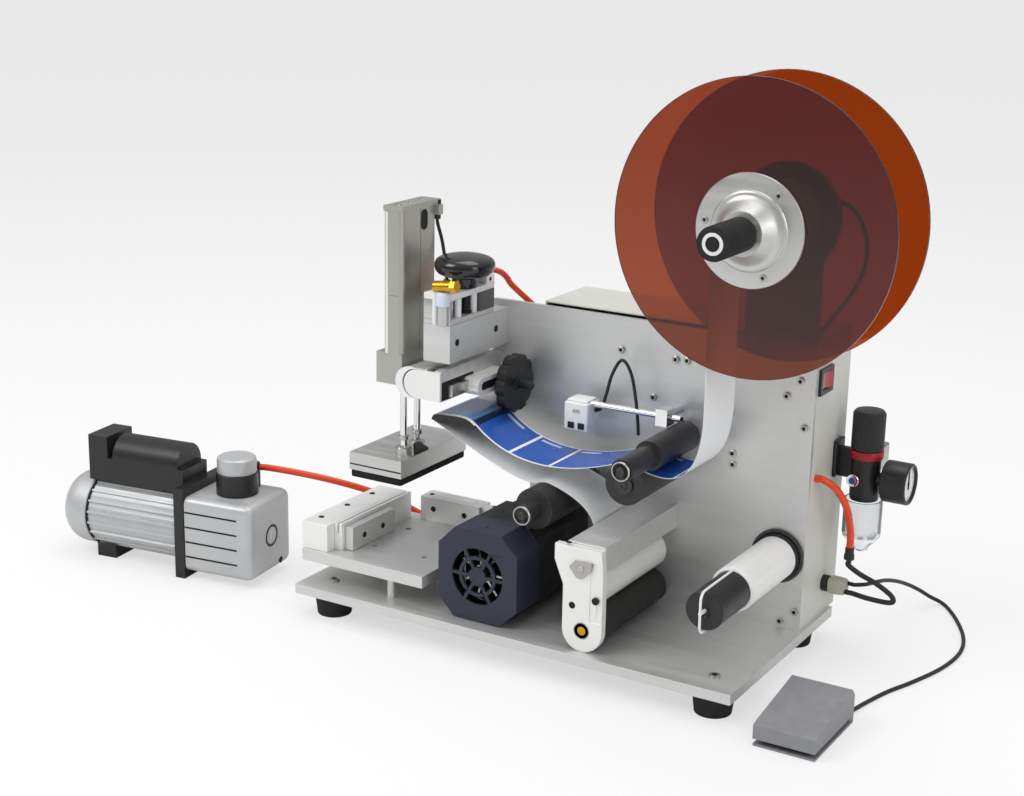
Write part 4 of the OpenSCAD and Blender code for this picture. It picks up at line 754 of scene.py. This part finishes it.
def head_pieces():
    wheel = Piece("handwheel", "knob", "black_plastic", ["head_knob"])
    wheel.lathe([(3.9, 252.3), (4, 252.8), (4, 302.3), (12.2, 302.3), (12.5, 302.8), (12.5, 311.2),
                 (13.6, 312.6), (18, 313.0), (22.5, 314.0), (26.2, 316.0), (28.6, 319.0), (29.5, 322.5),
                 (29.3, 325.8), (27.8, 328.8), (25.0, 330.9), (21, 332.4), (15, 333.8), (8, 334.9),
                 (3, 335.3), (0, 335.3)], WHEEL_AT, "z", GLOSSY, 96)
    for h in range(254, 302, 2):
        wheel.lathe([(4, h), (4.35, h + 0.5), (4.35, h + 0.9), (4, h + 1.4)], WHEEL_AT, "z", STEEL, 24)
    wheel.done()
    star = Piece("star_wheel", "star", "black_plastic", ["star_knob"])
    star.prism(ring_outline(29, 10, 2.7, STAR_AT), "x", 165.5, 175.5, BLACK, 1.1, 3)
    star.lathe([(10, 158.6), (10, 162.5), (12, 165.6), (0, 165.6)], (0, *STAR_AT), "x", BLACK)
    star.lathe([(0, 175.4), (7.5, 175.4), (7.2, 177.0), (4.2, 177.6), (4, 190.4), (3.2, 191.4),
                (0, 191.4)], (0, *STAR_AT), "x", BLACK, 36)
    star.rod((124.3, *STAR_AT), (159, *STAR_AT), 8, STEEL)
    star.done()
    arm = Piece("upper_arm_screws", WHOLE, "steel")
    for sy in (71, 142):
        arm.screw((143.5, sy, 254), "x", 7, 0.5, 1, 0.75, BLACK_AND_SHADE)
    arm.done()
    carriage = Piece("lift_carriage", "lift", "plate_aluminium", ["slide_block"])
    left, right = 113.5, 143.5
    low, deck, under, top = 272.2, 276.9, 296.1, 302
    carriage.box((left, 58, low), (right, 138, 277), PLATE)
    carriage.box((left, 58, 296), (right, 138, top), BRIGHT, 0.6)
    carriage.box((left, 58, deck), (right, 61, under), MILLED, 0.4)
    carriage.box((113.6, 60, deck), (118, 137, under), SHADOW, 0.3)
    carriage.box((117, 113, deck), (right, 138, under), SHADOW)
    carriage.box((128.5, 124, 301.8), (right, 138, 310), BRIGHT)
    carriage.screw((right, 130, 306), "x", 4, 0.3, 1, 0.7, BLACK_AND_SHADE)
    for py in (80, 108):
        carriage.rod((138, py, 276.8), (138, py, 296.2), 7, WHITE)
    carriage.lathe([(0, 277), (5.5, 277), (5.5, 279), (4, 279.5), (4, 296)], (135, 99.4, 0), "z", BLACK_AND_SHADE, 32)
    for ry in (86, 116):
        carriage.rod((128, ry, 225), (128, ry, 297), 8, CHROME)
    carriage.box((121, 60, 222.3), (135, 150, 225), STEEL, 0.3)
    carriage.box((124, 60, 224.8), (132, 150, 229), STEEL, 0.3)
    carriage.rod((99.5, 110, 293), (114, 110, 293), 9, BRASS)
    carriage.done()
    front = Piece("arm_front", "arm", "plate_aluminium")
    strap = half_oval((105, 214), 16, 15.6) + half_oval((112, 214), 15, 14.4)[::-1]
    front.prism(strap, "y", 46.2, 49.2, WHITE, 0.5)
    front.prism(half_oval((113.4, 213.8), 14.6, 14.2) + [(140, 199.6), (140, 228)], "y", 46.5, 49.1,
                BRIGHT, 0.5)
    front.prism(capsule((91, 200.2), (139, 227.6)), "y", 48.2, 49.2, BLACK_AND_SHADE, 0)
    front.done()
    side = Piece("arm_side", "arm", "plate_aluminium")
    # A thin black sheet on the lower arm's side around the rail: painted shade
    side.box((139.8, 50, 200), (140.5, 106, 218), BLACK_AND_SHADE, 0.2, 1)
    side.box((140, 58, 203), (147, 88, 214), STEEL, 0.8, 3)
    side.ring(capsule((86, 198.5), (150, 215.5)), capsule((93, 202.6), (146, 211.4)), "x",
              140.2, 158.2, BRIGHT)
    # A black plate inside the clamp bar's slot: painted shade
    side.prism(capsule((92, 202), (147, 212)), "x", 155.8, 156.6, BLACK_AND_SHADE, 0)
    side.done()
    cap = Piece("column_details", "arm", "steel")
    for cy in (64, 84, 104):
        cap.screw((COLUMN_X, cy, 381), "z", 5, 0.6, 1, 0.55, STEEL)
    cap.rod((90, 117, 361.5), (90, 117, 367), 6.5, BLACK)
    cap.box((83, 115.5, 373.6), (91.4, 122, 380.4), BLACK_AND_SHADE, 1.2, 3)
    cap.prism(capsule_up(93.7, 5.4, 354, 374), "x", 89.4, 90.5, BLACK_AND_SHADE, 0.2, 1)
    # A bright rod along the column's front corner: a painted highlight on its rounded edge
    cap.rod((72.2, 57.8, 236.6), (72.2, 57.8, 375), 4.6, BRIGHT)
    cap.done()
    gland = Piece("lift_fittings", "lift", "white_parts")
    gland.rod((106, 110, 297.4), (106, 110, 304.5), 7, BRASS)
    gland.rod((105, 110, 297.5), (105, 118.5, 297.5), 8.4, BLACK)
    gland.rod((127, 57, 309.2), (147, 57, 311.4), 11, BRASS)
    gland.rod((145.5, 57, 311.2), (152, 57, 311.9), 12.4, BRASS, 6, 0.6)
    gland.lathe([(0, 291.5), (6.2, 291.5), (7, 292.3), (7, 303.5), (5.6, 305), (0, 305)],
                (136.4, 57, 0), "z", PALE, 40)
    gland.rod((136.4, 57.5, 272.4), (136.4, 57.5, 292), 11.4, MILLED)
    gland.rod((127.4, 56.6, 272.4), (127.4, 56.6, 303), 5, WHITE)
    gland.done()
    rods = Piece("rod_collars", "press", "chrome")
    for ry in ROD_YS:
        rods.lathe([(3.6, 146), (5.2, 146), (5.6, 146.4), (5.6, 149.6), (5.2, 150), (3.6, 150)],
                   (COLUMN_X, ry, 0), "z", STEEL, 36)
        rods.lathe([(3.6, 137.9), (7.4, 137.9), (8, 138.4), (7.4, 139), (3.6, 139)],
                   (COLUMN_X, ry, 0), "z", STEEL, 36)
    rods.done()
    gusset = Piece("pad_gusset", "press", "black_plastic")
    gusset.prism([(80, 130), (104, 130), (103, 132), (87, 142), (80, 142)], "x", 88, 90, MOTOR, 0.3)
    gusset.box((30.4, 51.5, 117.4), (91.6, 52.1, 118.6), BLACK_AND_SHADE, 0.1, 1)
    gusset.done()
    foam = Piece("pad_cushion", "press", "foot_rubber", ["pad_foam"])
    foam.box((31, 53, 104), (91, 170, 112), FOAM, 1.6, 3)
    foam.done()


head_pieces()


# drive, rollers, rewind

def roller_pieces():
    p = Piece("roller_end_rings", WHOLE, "steel")
    for (ax, az), y in ((ROLLER_A, 22), (ROLLER_B, 30)):
        p.lathe([(7.6, y - 2.3), (8.0, y - 3.0), (8.9, y - 3.0), (9.3, y - 2.4), (9.3, y - 0.4)],
                (ax, 0, az), "y", STEEL)
    for (ax, az), y in ((ROLLER_A, 22), (ROLLER_B, 30), (ROLLER_C, 70)):
        p.lathe([(4, y - 2.3), (4, y - 3.3), (3.4, y - 3.9), (2, y - 3.9), (2, y - 3.2), (0, y - 3.2)],
                (ax, 0, az), "y", DARK_STEEL, 24)
    p.done()
    clip = Piece("motor_badge_plate", WHOLE, "steel")
    clip.lathe([(13, 86.6), (13, 87.4), (12.2, 88.4), (9, 89.2), (8.4, 88.6), (0, 88.6)],
               (229, 84, 0), "z", BRIGHT)
    clip.box((199, 28, 89.9), (205, 34, 91.6), NAVY, 0.7, 3)
    clip.done()
    mandrel = Piece("rewind_bar", "rewind", "black_plastic", ["rewind_mandrel"])
    x, z = REWIND_AXIS
    mandrel.lathe([(0, 4.5), (5.4, 4.5), (6, 4.0), (6, 2.6), (6.6, 2.0), (16.6, 2.0), (18, 3.2),
                   (18, 159.5), (22, 160), (23, 160.8), (23, 165.2), (22.4, 166), (7, 166), (7, 197),
                   (0, 197)], (x, 0, z), "y", BLACK, 96)
    mandrel.lathe([(7, 188), (17, 188), (17, 189), (15, 189), (15, 197), (17, 197), (17, 198),
                   (7, 198)], (x, 0, z), "y", STEEL, 64)
    reach, bend, straight, y_end, y_tip = 19.25, 8, 30, 59.7, -6
    upper = [(y_end, reach), (straight, reach)] + turn((y_tip + bend, reach - bend), bend, 90, 180, 8)
    loop = upper + [(y, -h) for y, h in reversed(upper)]
    mandrel.tube([(x, y, z + h) for y, h in loop], 2.4, WHITE, 12)
    mandrel.rod((x, y_tip - 0.8, z), (x, 4.6, z), 3.4, WHITE, 20)
    mandrel.done()
    liner = Piece("liner_wound", "rewind", "paper", ["liner_roll"])
    liner.lathe([(18.1, 60.4), (18.9, 60.0), (19.0, 61.2), (19.8, 61.2), (19.9, 62.6), (20.6, 62.6),
                 (21, 63.2), (21, 158.2), (20.6, 158.6), (18.1, 158.6)], (x, 0, z), "y", PAPER, 96)
    liner.done()
    end = Piece("end_plate_details", WHOLE, "steel")
    drive = (DRIVE_AXIS[0], 0, DRIVE_AXIS[1])
    end.prism([(311.8, 87.6), (329.6, 88.4), (328.4, 79), (320.5, 71.8), (314.6, 71.6), (306.5, 81.5)],
              "y", 7.6, 10.2, ANODISED, 0.6)
    end.rod((318.6, 6.6, 81.4), (318.6, 8, 81.4), 7, STEEL, 6)
    end.rod((333.6, 8.6, 52.5), (333.6, 10.6, 52.5), 7, BLACK_AND_SHADE, 24)
    end.prism(capsule_up(331.5, 2.6, 36, 55), "y", 9.7, 11.2, BRIGHT, 0.3)
    end.rod((309.5, 9.7, 43.5), (309.5, 10.6, 43.5), 6.8, BLACK_AND_SHADE)
    end.lathe([(8.2, 10.4), (8.2, 9.8), (7.4, 9.6), (7.2, 10.2)], drive, "y", STEEL)
    end.lathe([(7.2, 10.0), (0, 10.0)], drive, "y", BLACK_AND_SHADE)
    end.lathe([(0, 9.7), (3.4, 9.7), (4.2, 9.9)], drive, "y", BRASS, 24)
    end.screw((303, 13.4, 102), "z", 5, 0.6, 1, 0.7, BLACK_AND_SHADE)
    end.done()


roller_pieces()


# sensor

def sensor_pieces():
    p = Piece("sensor_head", "sensor", "plate_aluminium", ["sensor_block"])
    p.box((232, 125, 170), (258, 150, 198), WHITE, 1.8, 4)
    p.box((234, 127, 197.5), (256, 148, 200.4), WHITE, 1.2, 3)
    p.rod((257, 135, 197), (352, 135, 197), 6, CHROME)
    for x in (237, 248):
        p.box((x, 123.6, 172.5), (x + 6.5, 125.3, 178.5), BLACK_AND_SHADE, 0.4)
    p.box((242, 123.9, 188.5), (249, 125.3, 191.5), STEEL, 0.4)
    p.rod((256.5, 141, 190), (260.5, 141, 190), 5.4, BLACK, 20)
    p.rod((351, 135, 197), (353.6, 135, 197), 4.2, BLACK_AND_SHADE, 20)
    p.done()


sensor_pieces()


# fixture

def fixture_pieces():
    top = 34
    p = Piece("fixture_screws", WHOLE, "steel")
    for x, y in ((8, 34), (8, 78), (8, 122)):
        p.screw((x, y, top + 28), "z", 6, 0.6, 1, 0.7, BLACK_AND_SHADE)
    for x in (66, 104):
        p.screw((x, 150, top + 14), "y", 6, 0.5, -1, 0.8, BLACK_AND_SHADE)
    p.screw((58, 160, top + 26), "z", 5, 0.5, 1, 0.7, BLACK_AND_SHADE)
    p.screw((134.3, 162, top + 26), "z", 6, 0.5, 1, 0.7, BLACK_AND_SHADE)
    p.box((70, 157, top + 25.8), (110, 169, top + 26.5), BRIGHT, 0.3)
    p.done()
    q = Piece("inner_fence_screws", "fence", "steel")
    for y in (52, 84):
        q.screw((48, y, top + 12), "x", 6, 0.5, 1, 0.8, BLACK_AND_SHADE)
    q.done()


fixture_pieces()


# air set

REG = (500, 235)
VALVE_AT = (500, 260.333)
COUPLING_AT = (498, 212, 0)
GAUGE_Z, PORT_X = 141, 494.4
TICKS, TICK_SPAN, TICK_END = 28, 270, 16


def air_pieces():
    x, y = REG
    gz = GAUGE_Z
    body = Piece("regulator_shell", WHOLE, "black_plastic", ["regulator_body"])
    body.lathe([(2.6, 144), (2.6, 168), (12.6, 168), (14, 167.2), (14, 122), (13.2, 119), (0, 119)],
               (x, y, 0), "z", BLACK, 64)
    body.lathe([(14, 160), (15.4, 160.3), (15.9, 161.2), (15.9, 167.4), (15.4, 168.2), (12.6, 168.2)],
               (x, y, 0), "z", RED_RING, 64)
    body.box((470.2, 230.5, 138), (491, 239.5, 167), BLACK, 1.5, 3)
    body.box((470.2, 224, 138), (474, 246, 174), BLACK, 1.2, 3)
    body.lathe([(0, 214), (3.2, 214), (3.2, 215.2), (5.6, 215.2), (6, 215.6), (6, 226)],
               (PORT_X, 0, gz), "y", CHROME, 36)
    body.lathe([(0, 213.6), (3.1, 213.6), (3.4, 214.2)], (PORT_X, 0, gz), "y", PORT_BLUE, 36)
    body.lathe([(6, 513), (6, 520), (18.6, 520), (20, 521.2), (20, 538)], (0, y, gz), "x", BLACK, 64)
    body.lathe([(20, 538), (20.0, 543.8), (19.2, 545), (17.4, 545), (17, 544.4), (17, 541.4)],
               (0, y, gz), "x", BLACK, 64)
    body.lathe([(17, 542.05), (17, 541.6)], (0, y, gz), "x", WHITE, 64)
    for k in range(TICKS):
        a = 90 + TICK_SPAN / 2 - TICK_SPAN * k / (TICKS - 1)
        inner, outer = (add((y, gz), aim(a, r)) for r in (14.6 if k % 3 else 13.2, TICK_END))
        body.rod((542.08, *inner), (542.08, *outer), 0.4, BLACK_AND_SHADE, 6, 0)
    body.box((491, 244.4, 143), (509, 274.3, 167), STEEL, 2.2, 3)
    body.rod((500, 268, 155), (500, 276, 155), 13, BRASS, 6)
    body.done()
    ring = Piece("regulator_grip", "regulator", "black_plastic", ["regulator_knob"])
    ring.prism(ring_outline(15.5, 40, 0.5, (x, y), 480), "z", 170.2, 203.8, BLACK, 0.3, 1)
    ring.lathe([(2.4, 143.9), (2.4, 168.3), (13.6, 168.3), (14.6, 169), (14.6, 170.4), (0, 170.4)],
               (x, y, 0), "z", BLACK)
    ring.lathe([(15.0, 203.6), (15.0, 204.6), (13.4, 206.6), (10, 207.4), (0, 207.4)],
               (x, y, 0), "z", BLACK, 64)
    ring.done()
    lever = Piece("valve_handle", "valve", "black_plastic", ["valve_lever"])
    lever.rod((*VALVE_AT, 155.3), (*VALVE_AT, 168), 5, STEEL, 24)
    lever.lathe([(2.5, 168), (2.5, 186), (1.9, 187), (1.9, 191)], (*VALVE_AT, 0), "z", CHROME, 24)
    ball_r, ball_z = 6.5, 196
    lever.lathe([(0, ball_z - ball_r)] + turn((0, ball_z), ball_r, -80, 80, 16)
                + [(0, ball_z + ball_r)], (*VALVE_AT, 0), "z", GLOSSY, 40)
    lever.done()
    bowl = Piece("water_bowl", WHOLE, "clear_bowl", ["regulator_bowl"])
    bowl.lathe([(0, 68), (3, 68), (6.6, 68.4), (7, 69), (8.2, 71.5), (16.8, 80.2), (18.2, 83),
                (18.5, 86), (18.5, 117.2), (18.0, 119), (16.4, 119), (16.4, 86), (15.2, 82.8),
                (0, 82.2)], (x, y, 0), "z", CLEAR, 64)
    bowl.done()
    cone = Piece("bowl_drain", WHOLE, "clear_bowl")
    cone.lathe([(0, 66.2), (2.6, 66.2), (3.2, 66.6), (3.2, 70)], (x, y, 0), "z", WHITE, 32)
    cone.done()
    needle = Piece("needle", "needle", "black_plastic", ["gauge_needle"])
    needle.rod((533.2, y, gz), (543.1, y, gz), 3, BLACK_AND_SHADE, 24)
    needle.prism([(y - 1, gz - 5), (y + 1, gz - 5), (y + 0.25, gz + 13.3), (y - 0.25, gz + 13.3)],
                 "x", 542.3, 543.1, BLACK_AND_SHADE, 0)
    needle.done()
    coupling = Piece("hose_coupling", WHOLE, "black_plastic")
    coupling.lathe([(3, 64), (4.7, 64), (5, 64.4), (5, 69), (4.3, 69.4), (4.3, 75.6), (4.0, 76),
                    (3, 76)], COUPLING_AT, "z", BLACK, 36)
    coupling.done()


air_pieces()


# the pedal lead's plug

FULLNESS = 0.45


def soft_square(y, z, w, h, n=32):
    """An outline between an oval and a rectangle."""
    spots = [aim(360 * k / n, 1) for k in range(n)]
    return [add((y, z), (w * math.copysign(abs(c) ** FULLNESS, c), h * math.copysign(abs(s) ** FULLNESS, s)))
            for c, s in spots]


def pedal_pieces():
    plug = Piece("lead_plug", WHOLE, "cream", ["pedal_plug"])
    y, z = 222.5, 31
    rows = []
    for x, w, h in ((476.6, 6.2, 6.2), (477.4, 7.6, 7.6), (480, 8, 8), (487, 7.7, 7.8),
                    (492, 6.9, 7.4), (494, 5.6, 6.4)):
        outline = soft_square(y, z, w, h)
        rows.append([(x, *q) for q in outline + outline[:1]])
    plug.sheet(rows, CREAM)
    plug.prism(soft_square(y, z, 5.6, 6.4), "x", 493.0, 494.05, CREAM, 0)
    plug.rod((471.2, y, z), (477, y, z), 8.8, BLACK_AND_SHADE)
    plug.done(50)


pedal_pieces()


# vacuum pump

PUMP_AT, PUMP_TURN = (-156, 14), 7.3


class PumpPiece(Piece):
    """A piece given in the pump's own place, turned with the pump."""

    def done(self, sharp=32):
        bmesh.ops.rotate(self.whole, verts=self.whole.verts, cent=(0, 0, 0),
                         matrix=Matrix.Rotation(math.radians(PUMP_TURN), 3, "Z"))
        bmesh.ops.translate(self.whole, verts=self.whole.verts, vec=Vector((*PUMP_AT, 0)))
        return super().done(sharp)


BELL = [(0, -165.9), (8, -165.9), (16, -165.2), (22, -163.8), (28, -161), (33, -157), (37, -151.5),
        (39.2, -146), (40, -141), (40, -127.2), (39, -126.4), (38.2, -126.4)]
# One rib of the motor's body: the share of its turn, and the radius there
RIB = [(0.0, 38.0), (0.12, 37.6), (0.36, 37.5), (0.42, 39.6), (0.5, 39.7), (0.58, 39.6), (0.64, 37.5),
       (0.88, 37.6)]
RIBS = 20
# The oil box: its side, its lowest place, its corners' radius, and its front's rounding
BOX_SIDE, BOX_LOW, BOX_R = 81, -25, 7
BOX_FRONT = [(0.4, 0.3), (0.6, 0), (72, 0), (76.5, 0.8), (79.5, 2.6), (81.1, 5.4), (81.5, 9)]
CAP_AT = (40.75, 40.5, 0)
GROOVES = 5


def box_row(x, inset):
    """The oil box's outline at x, drawn in by the inset."""
    lo, hi, r = inset, BOX_SIDE - inset, BOX_R
    bottom, top = BOX_LOW + inset, BOX_LOW + BOX_SIDE - inset
    row = (turn((hi - r, top - r), r, 0, 90, 6) + turn((lo + r, top - r), r, 90, 180, 6)
           + turn((lo + r, bottom + r), r, 180, 270, 6) + turn((hi - r, bottom + r), r, 270, 360, 6))
    return [(x, *q) for q in row]


def pump_pieces():
    axis = (0, 40, 15)
    motor = PumpPiece("pump_bell", WHOLE, "cast_silver", ["pump_motor"])
    motor.lathe(BELL, axis, "x", SILVER, 96)
    motor.lathe([(38.2, -126.4), (39.4, -126), (39.4, -124.4), (37.6, -124)], axis, "x", BLACK_AND_SHADE, 96)
    motor.prism([add(axis[1:], aim(360 * (k + f) / RIBS, r)) for k in range(RIBS) for f, r in RIB],
                "x", -124, -12.3, SILVER, 0)
    motor.done()
    box = PumpPiece("oil_box", WHOLE, "cast_silver", ["pump_oil_box"])
    rows = [box_row(x, inset) for x, inset in BOX_FRONT]
    box.sheet([row + row[:1] for row in rows], SILVER)
    box.prism([q[1:] for q in rows[-1]], "x", 80.6, 81.5, SILVER, 0)
    # The grooves on the oil box's side are dark strips: painted shade
    for k in range(1, GROOVES):
        z = BOX_LOW + k * BOX_SIDE / GROOVES - 0.4
        box.box((1, -0.35, z), (64, 0.6, z + 1.9), BLACK_AND_SHADE, 0.3)
    box.box((4, 16, 55.8), (70, 65, 56.4), SILVER, 0.4)
    box.lathe([(6, 54), (6, 80.8), (5, 82), (0, 82)], (44, 70, 0), "z", BLACK, 36)
    sight = (0, 40.5, 15)
    box.lathe([(10.5, 81.3), (12, 81.5), (12, 81.7), (9.6, 81.9), (8.8, 81.2)], sight, "x", BLACK)
    box.lathe([(8.8, 81.3), (0, 81.3)], sight, "x", BLACK_AND_SHADE)
    box.box((81.2, 36, 10.5), (81.8, 40, 20.5), MILLED, 0.3)
    box.screw((81.4, 58, -18), "x", 7, 0.6, 1, 0.7, BLACK_AND_SHADE)
    box.done()
    cap = PumpPiece("exhaust_cap", "cap", "cast_silver", ["pump_cap"])
    cap.lathe([(20, 56.3), (21.6, 56.3), (22, 56.8), (22, 79.2), (21.4, 80), (20.6, 80)],
              CAP_AT, "z", BLACK, 72)
    cap.lathe([(20.6, 80), (20.8, 80.6), (20.8, 92.6), (20.2, 95), (18.2, 96.6), (14, 97), (0, 97)],
              CAP_AT, "z", SILVER, 72)
    cap.done()


pump_pieces()


# floor and light

WHITE_LIGHT = (1, 1, 1, 1)
SKY = [(0.0, (0.35, 0.35, 0.36, 1)), (0.35, (0.52, 0.52, 0.53, 1)), (1.0, (0.95, 0.95, 0.95, 1))]
SKY_STRENGTH = 0.85
FLOOR_COLOUR, FLOOR_R, FLOOR_GLOW = (0.85, 0.85, 0.85, 1), 30, 0.6


def seen_ray(nt):
    """1 for rays straight from the view or through glass."""
    ways = node(nt, "LightPath")
    rays = {0: ways.outputs["Is Camera Ray"], 1: ways.outputs["Is Transmission Ray"]}
    return node(nt, "Math", rays, "MAXIMUM").outputs["Value"]


def make_sky():
    world = bpy.data.worlds.new("studio")
    bpy.context.scene.world = world
    world.use_nodes = True
    nt = world.node_tree
    nt.nodes.clear()
    coords = node(nt, "TexCoord")
    split = node(nt, "SeparateXYZ", {"Vector": coords.outputs["Generated"]})
    ramp = node(nt, "ValToRGB", {"Fac": split.outputs["Z"]})
    stops = ramp.color_ramp.elements
    stops[0].position, stops[0].color = SKY[0]
    stops[1].position, stops[1].color = SKY[2]
    stops.new(SKY[1][0]).color = SKY[1][1]
    white = node(nt, "Background", {"Color": WHITE_LIGHT})
    sky = node(nt, "Background", {"Strength": SKY_STRENGTH, "Color": ramp.outputs["Color"]})
    mix = node(nt, "MixShader", {"Fac": seen_ray(nt), 1: sky.outputs["Background"],
                                 2: white.outputs["Background"]})
    node(nt, "OutputWorld", {"Surface": mix.outputs["Shader"]})


def make_floor():
    bm = bmesh.new()
    bmesh.ops.create_circle(bm, cap_ends=True, segments=64, radius=FLOOR_R)
    bmesh.ops.translate(bm, verts=bm.verts, vec=Vector((0, 0, (FLOOR_Z + DECK.z) * MM)))
    mesh = bpy.data.meshes.new("floor")
    bm.to_mesh(mesh)
    bm.free()
    floor = bpy.data.objects.new("floor", mesh)
    bpy.context.scene.collection.objects.link(floor)
    m = bpy.data.materials.new("floor")
    m.use_nodes = True
    nt = m.node_tree
    shader = nt.nodes["Principled BSDF"]
    feed(nt, shader, {"Base Color": FLOOR_COLOUR, "Roughness": 0.7, "Specular IOR Level": 0.1})
    glow = node(nt, "Emission", {"Color": WHITE_LIGHT, "Strength": 1.0})
    share = node(nt, "Math", {0: seen_ray(nt), 1: FLOOR_GLOW}, "MULTIPLY")
    mix = node(nt, "MixShader", {"Fac": share.outputs["Value"], 1: shader.outputs["BSDF"],
                                 2: glow.outputs["Emission"]})
    feed(nt, nt.nodes["Material Output"], {"Surface": mix.outputs["Shader"]})
    mesh.materials.append(m)


def lamp(name, at, target, size, power):
    data = bpy.data.lights.new(name, "AREA")
    data.shape = "RECTANGLE"
    data.size, data.size_y = size
    data.energy = power
    o = bpy.data.objects.new(name, data)
    o.location = at
    o.rotation_euler = (Vector(target) - Vector(at)).to_track_quat("-Z", "Y").to_euler()
    bpy.context.scene.collection.objects.link(o)


make_sky()
make_floor()
lamp("key", (-1.2, -1.6, 2.2), (0.15, 0.1, 0.15), (1.4, 1.4), 32)
lamp("top", (0.3, 0.4, 2.4), (0.2, 0.1, 0.1), (1.8, 1.2), 18)
lamp("side", (2.2, -0.6, 1.0), (0.3, 0.1, 0.2), (0.8, 1.4), 8)

bpy.context.scene.view_settings.view_transform = "Standard"
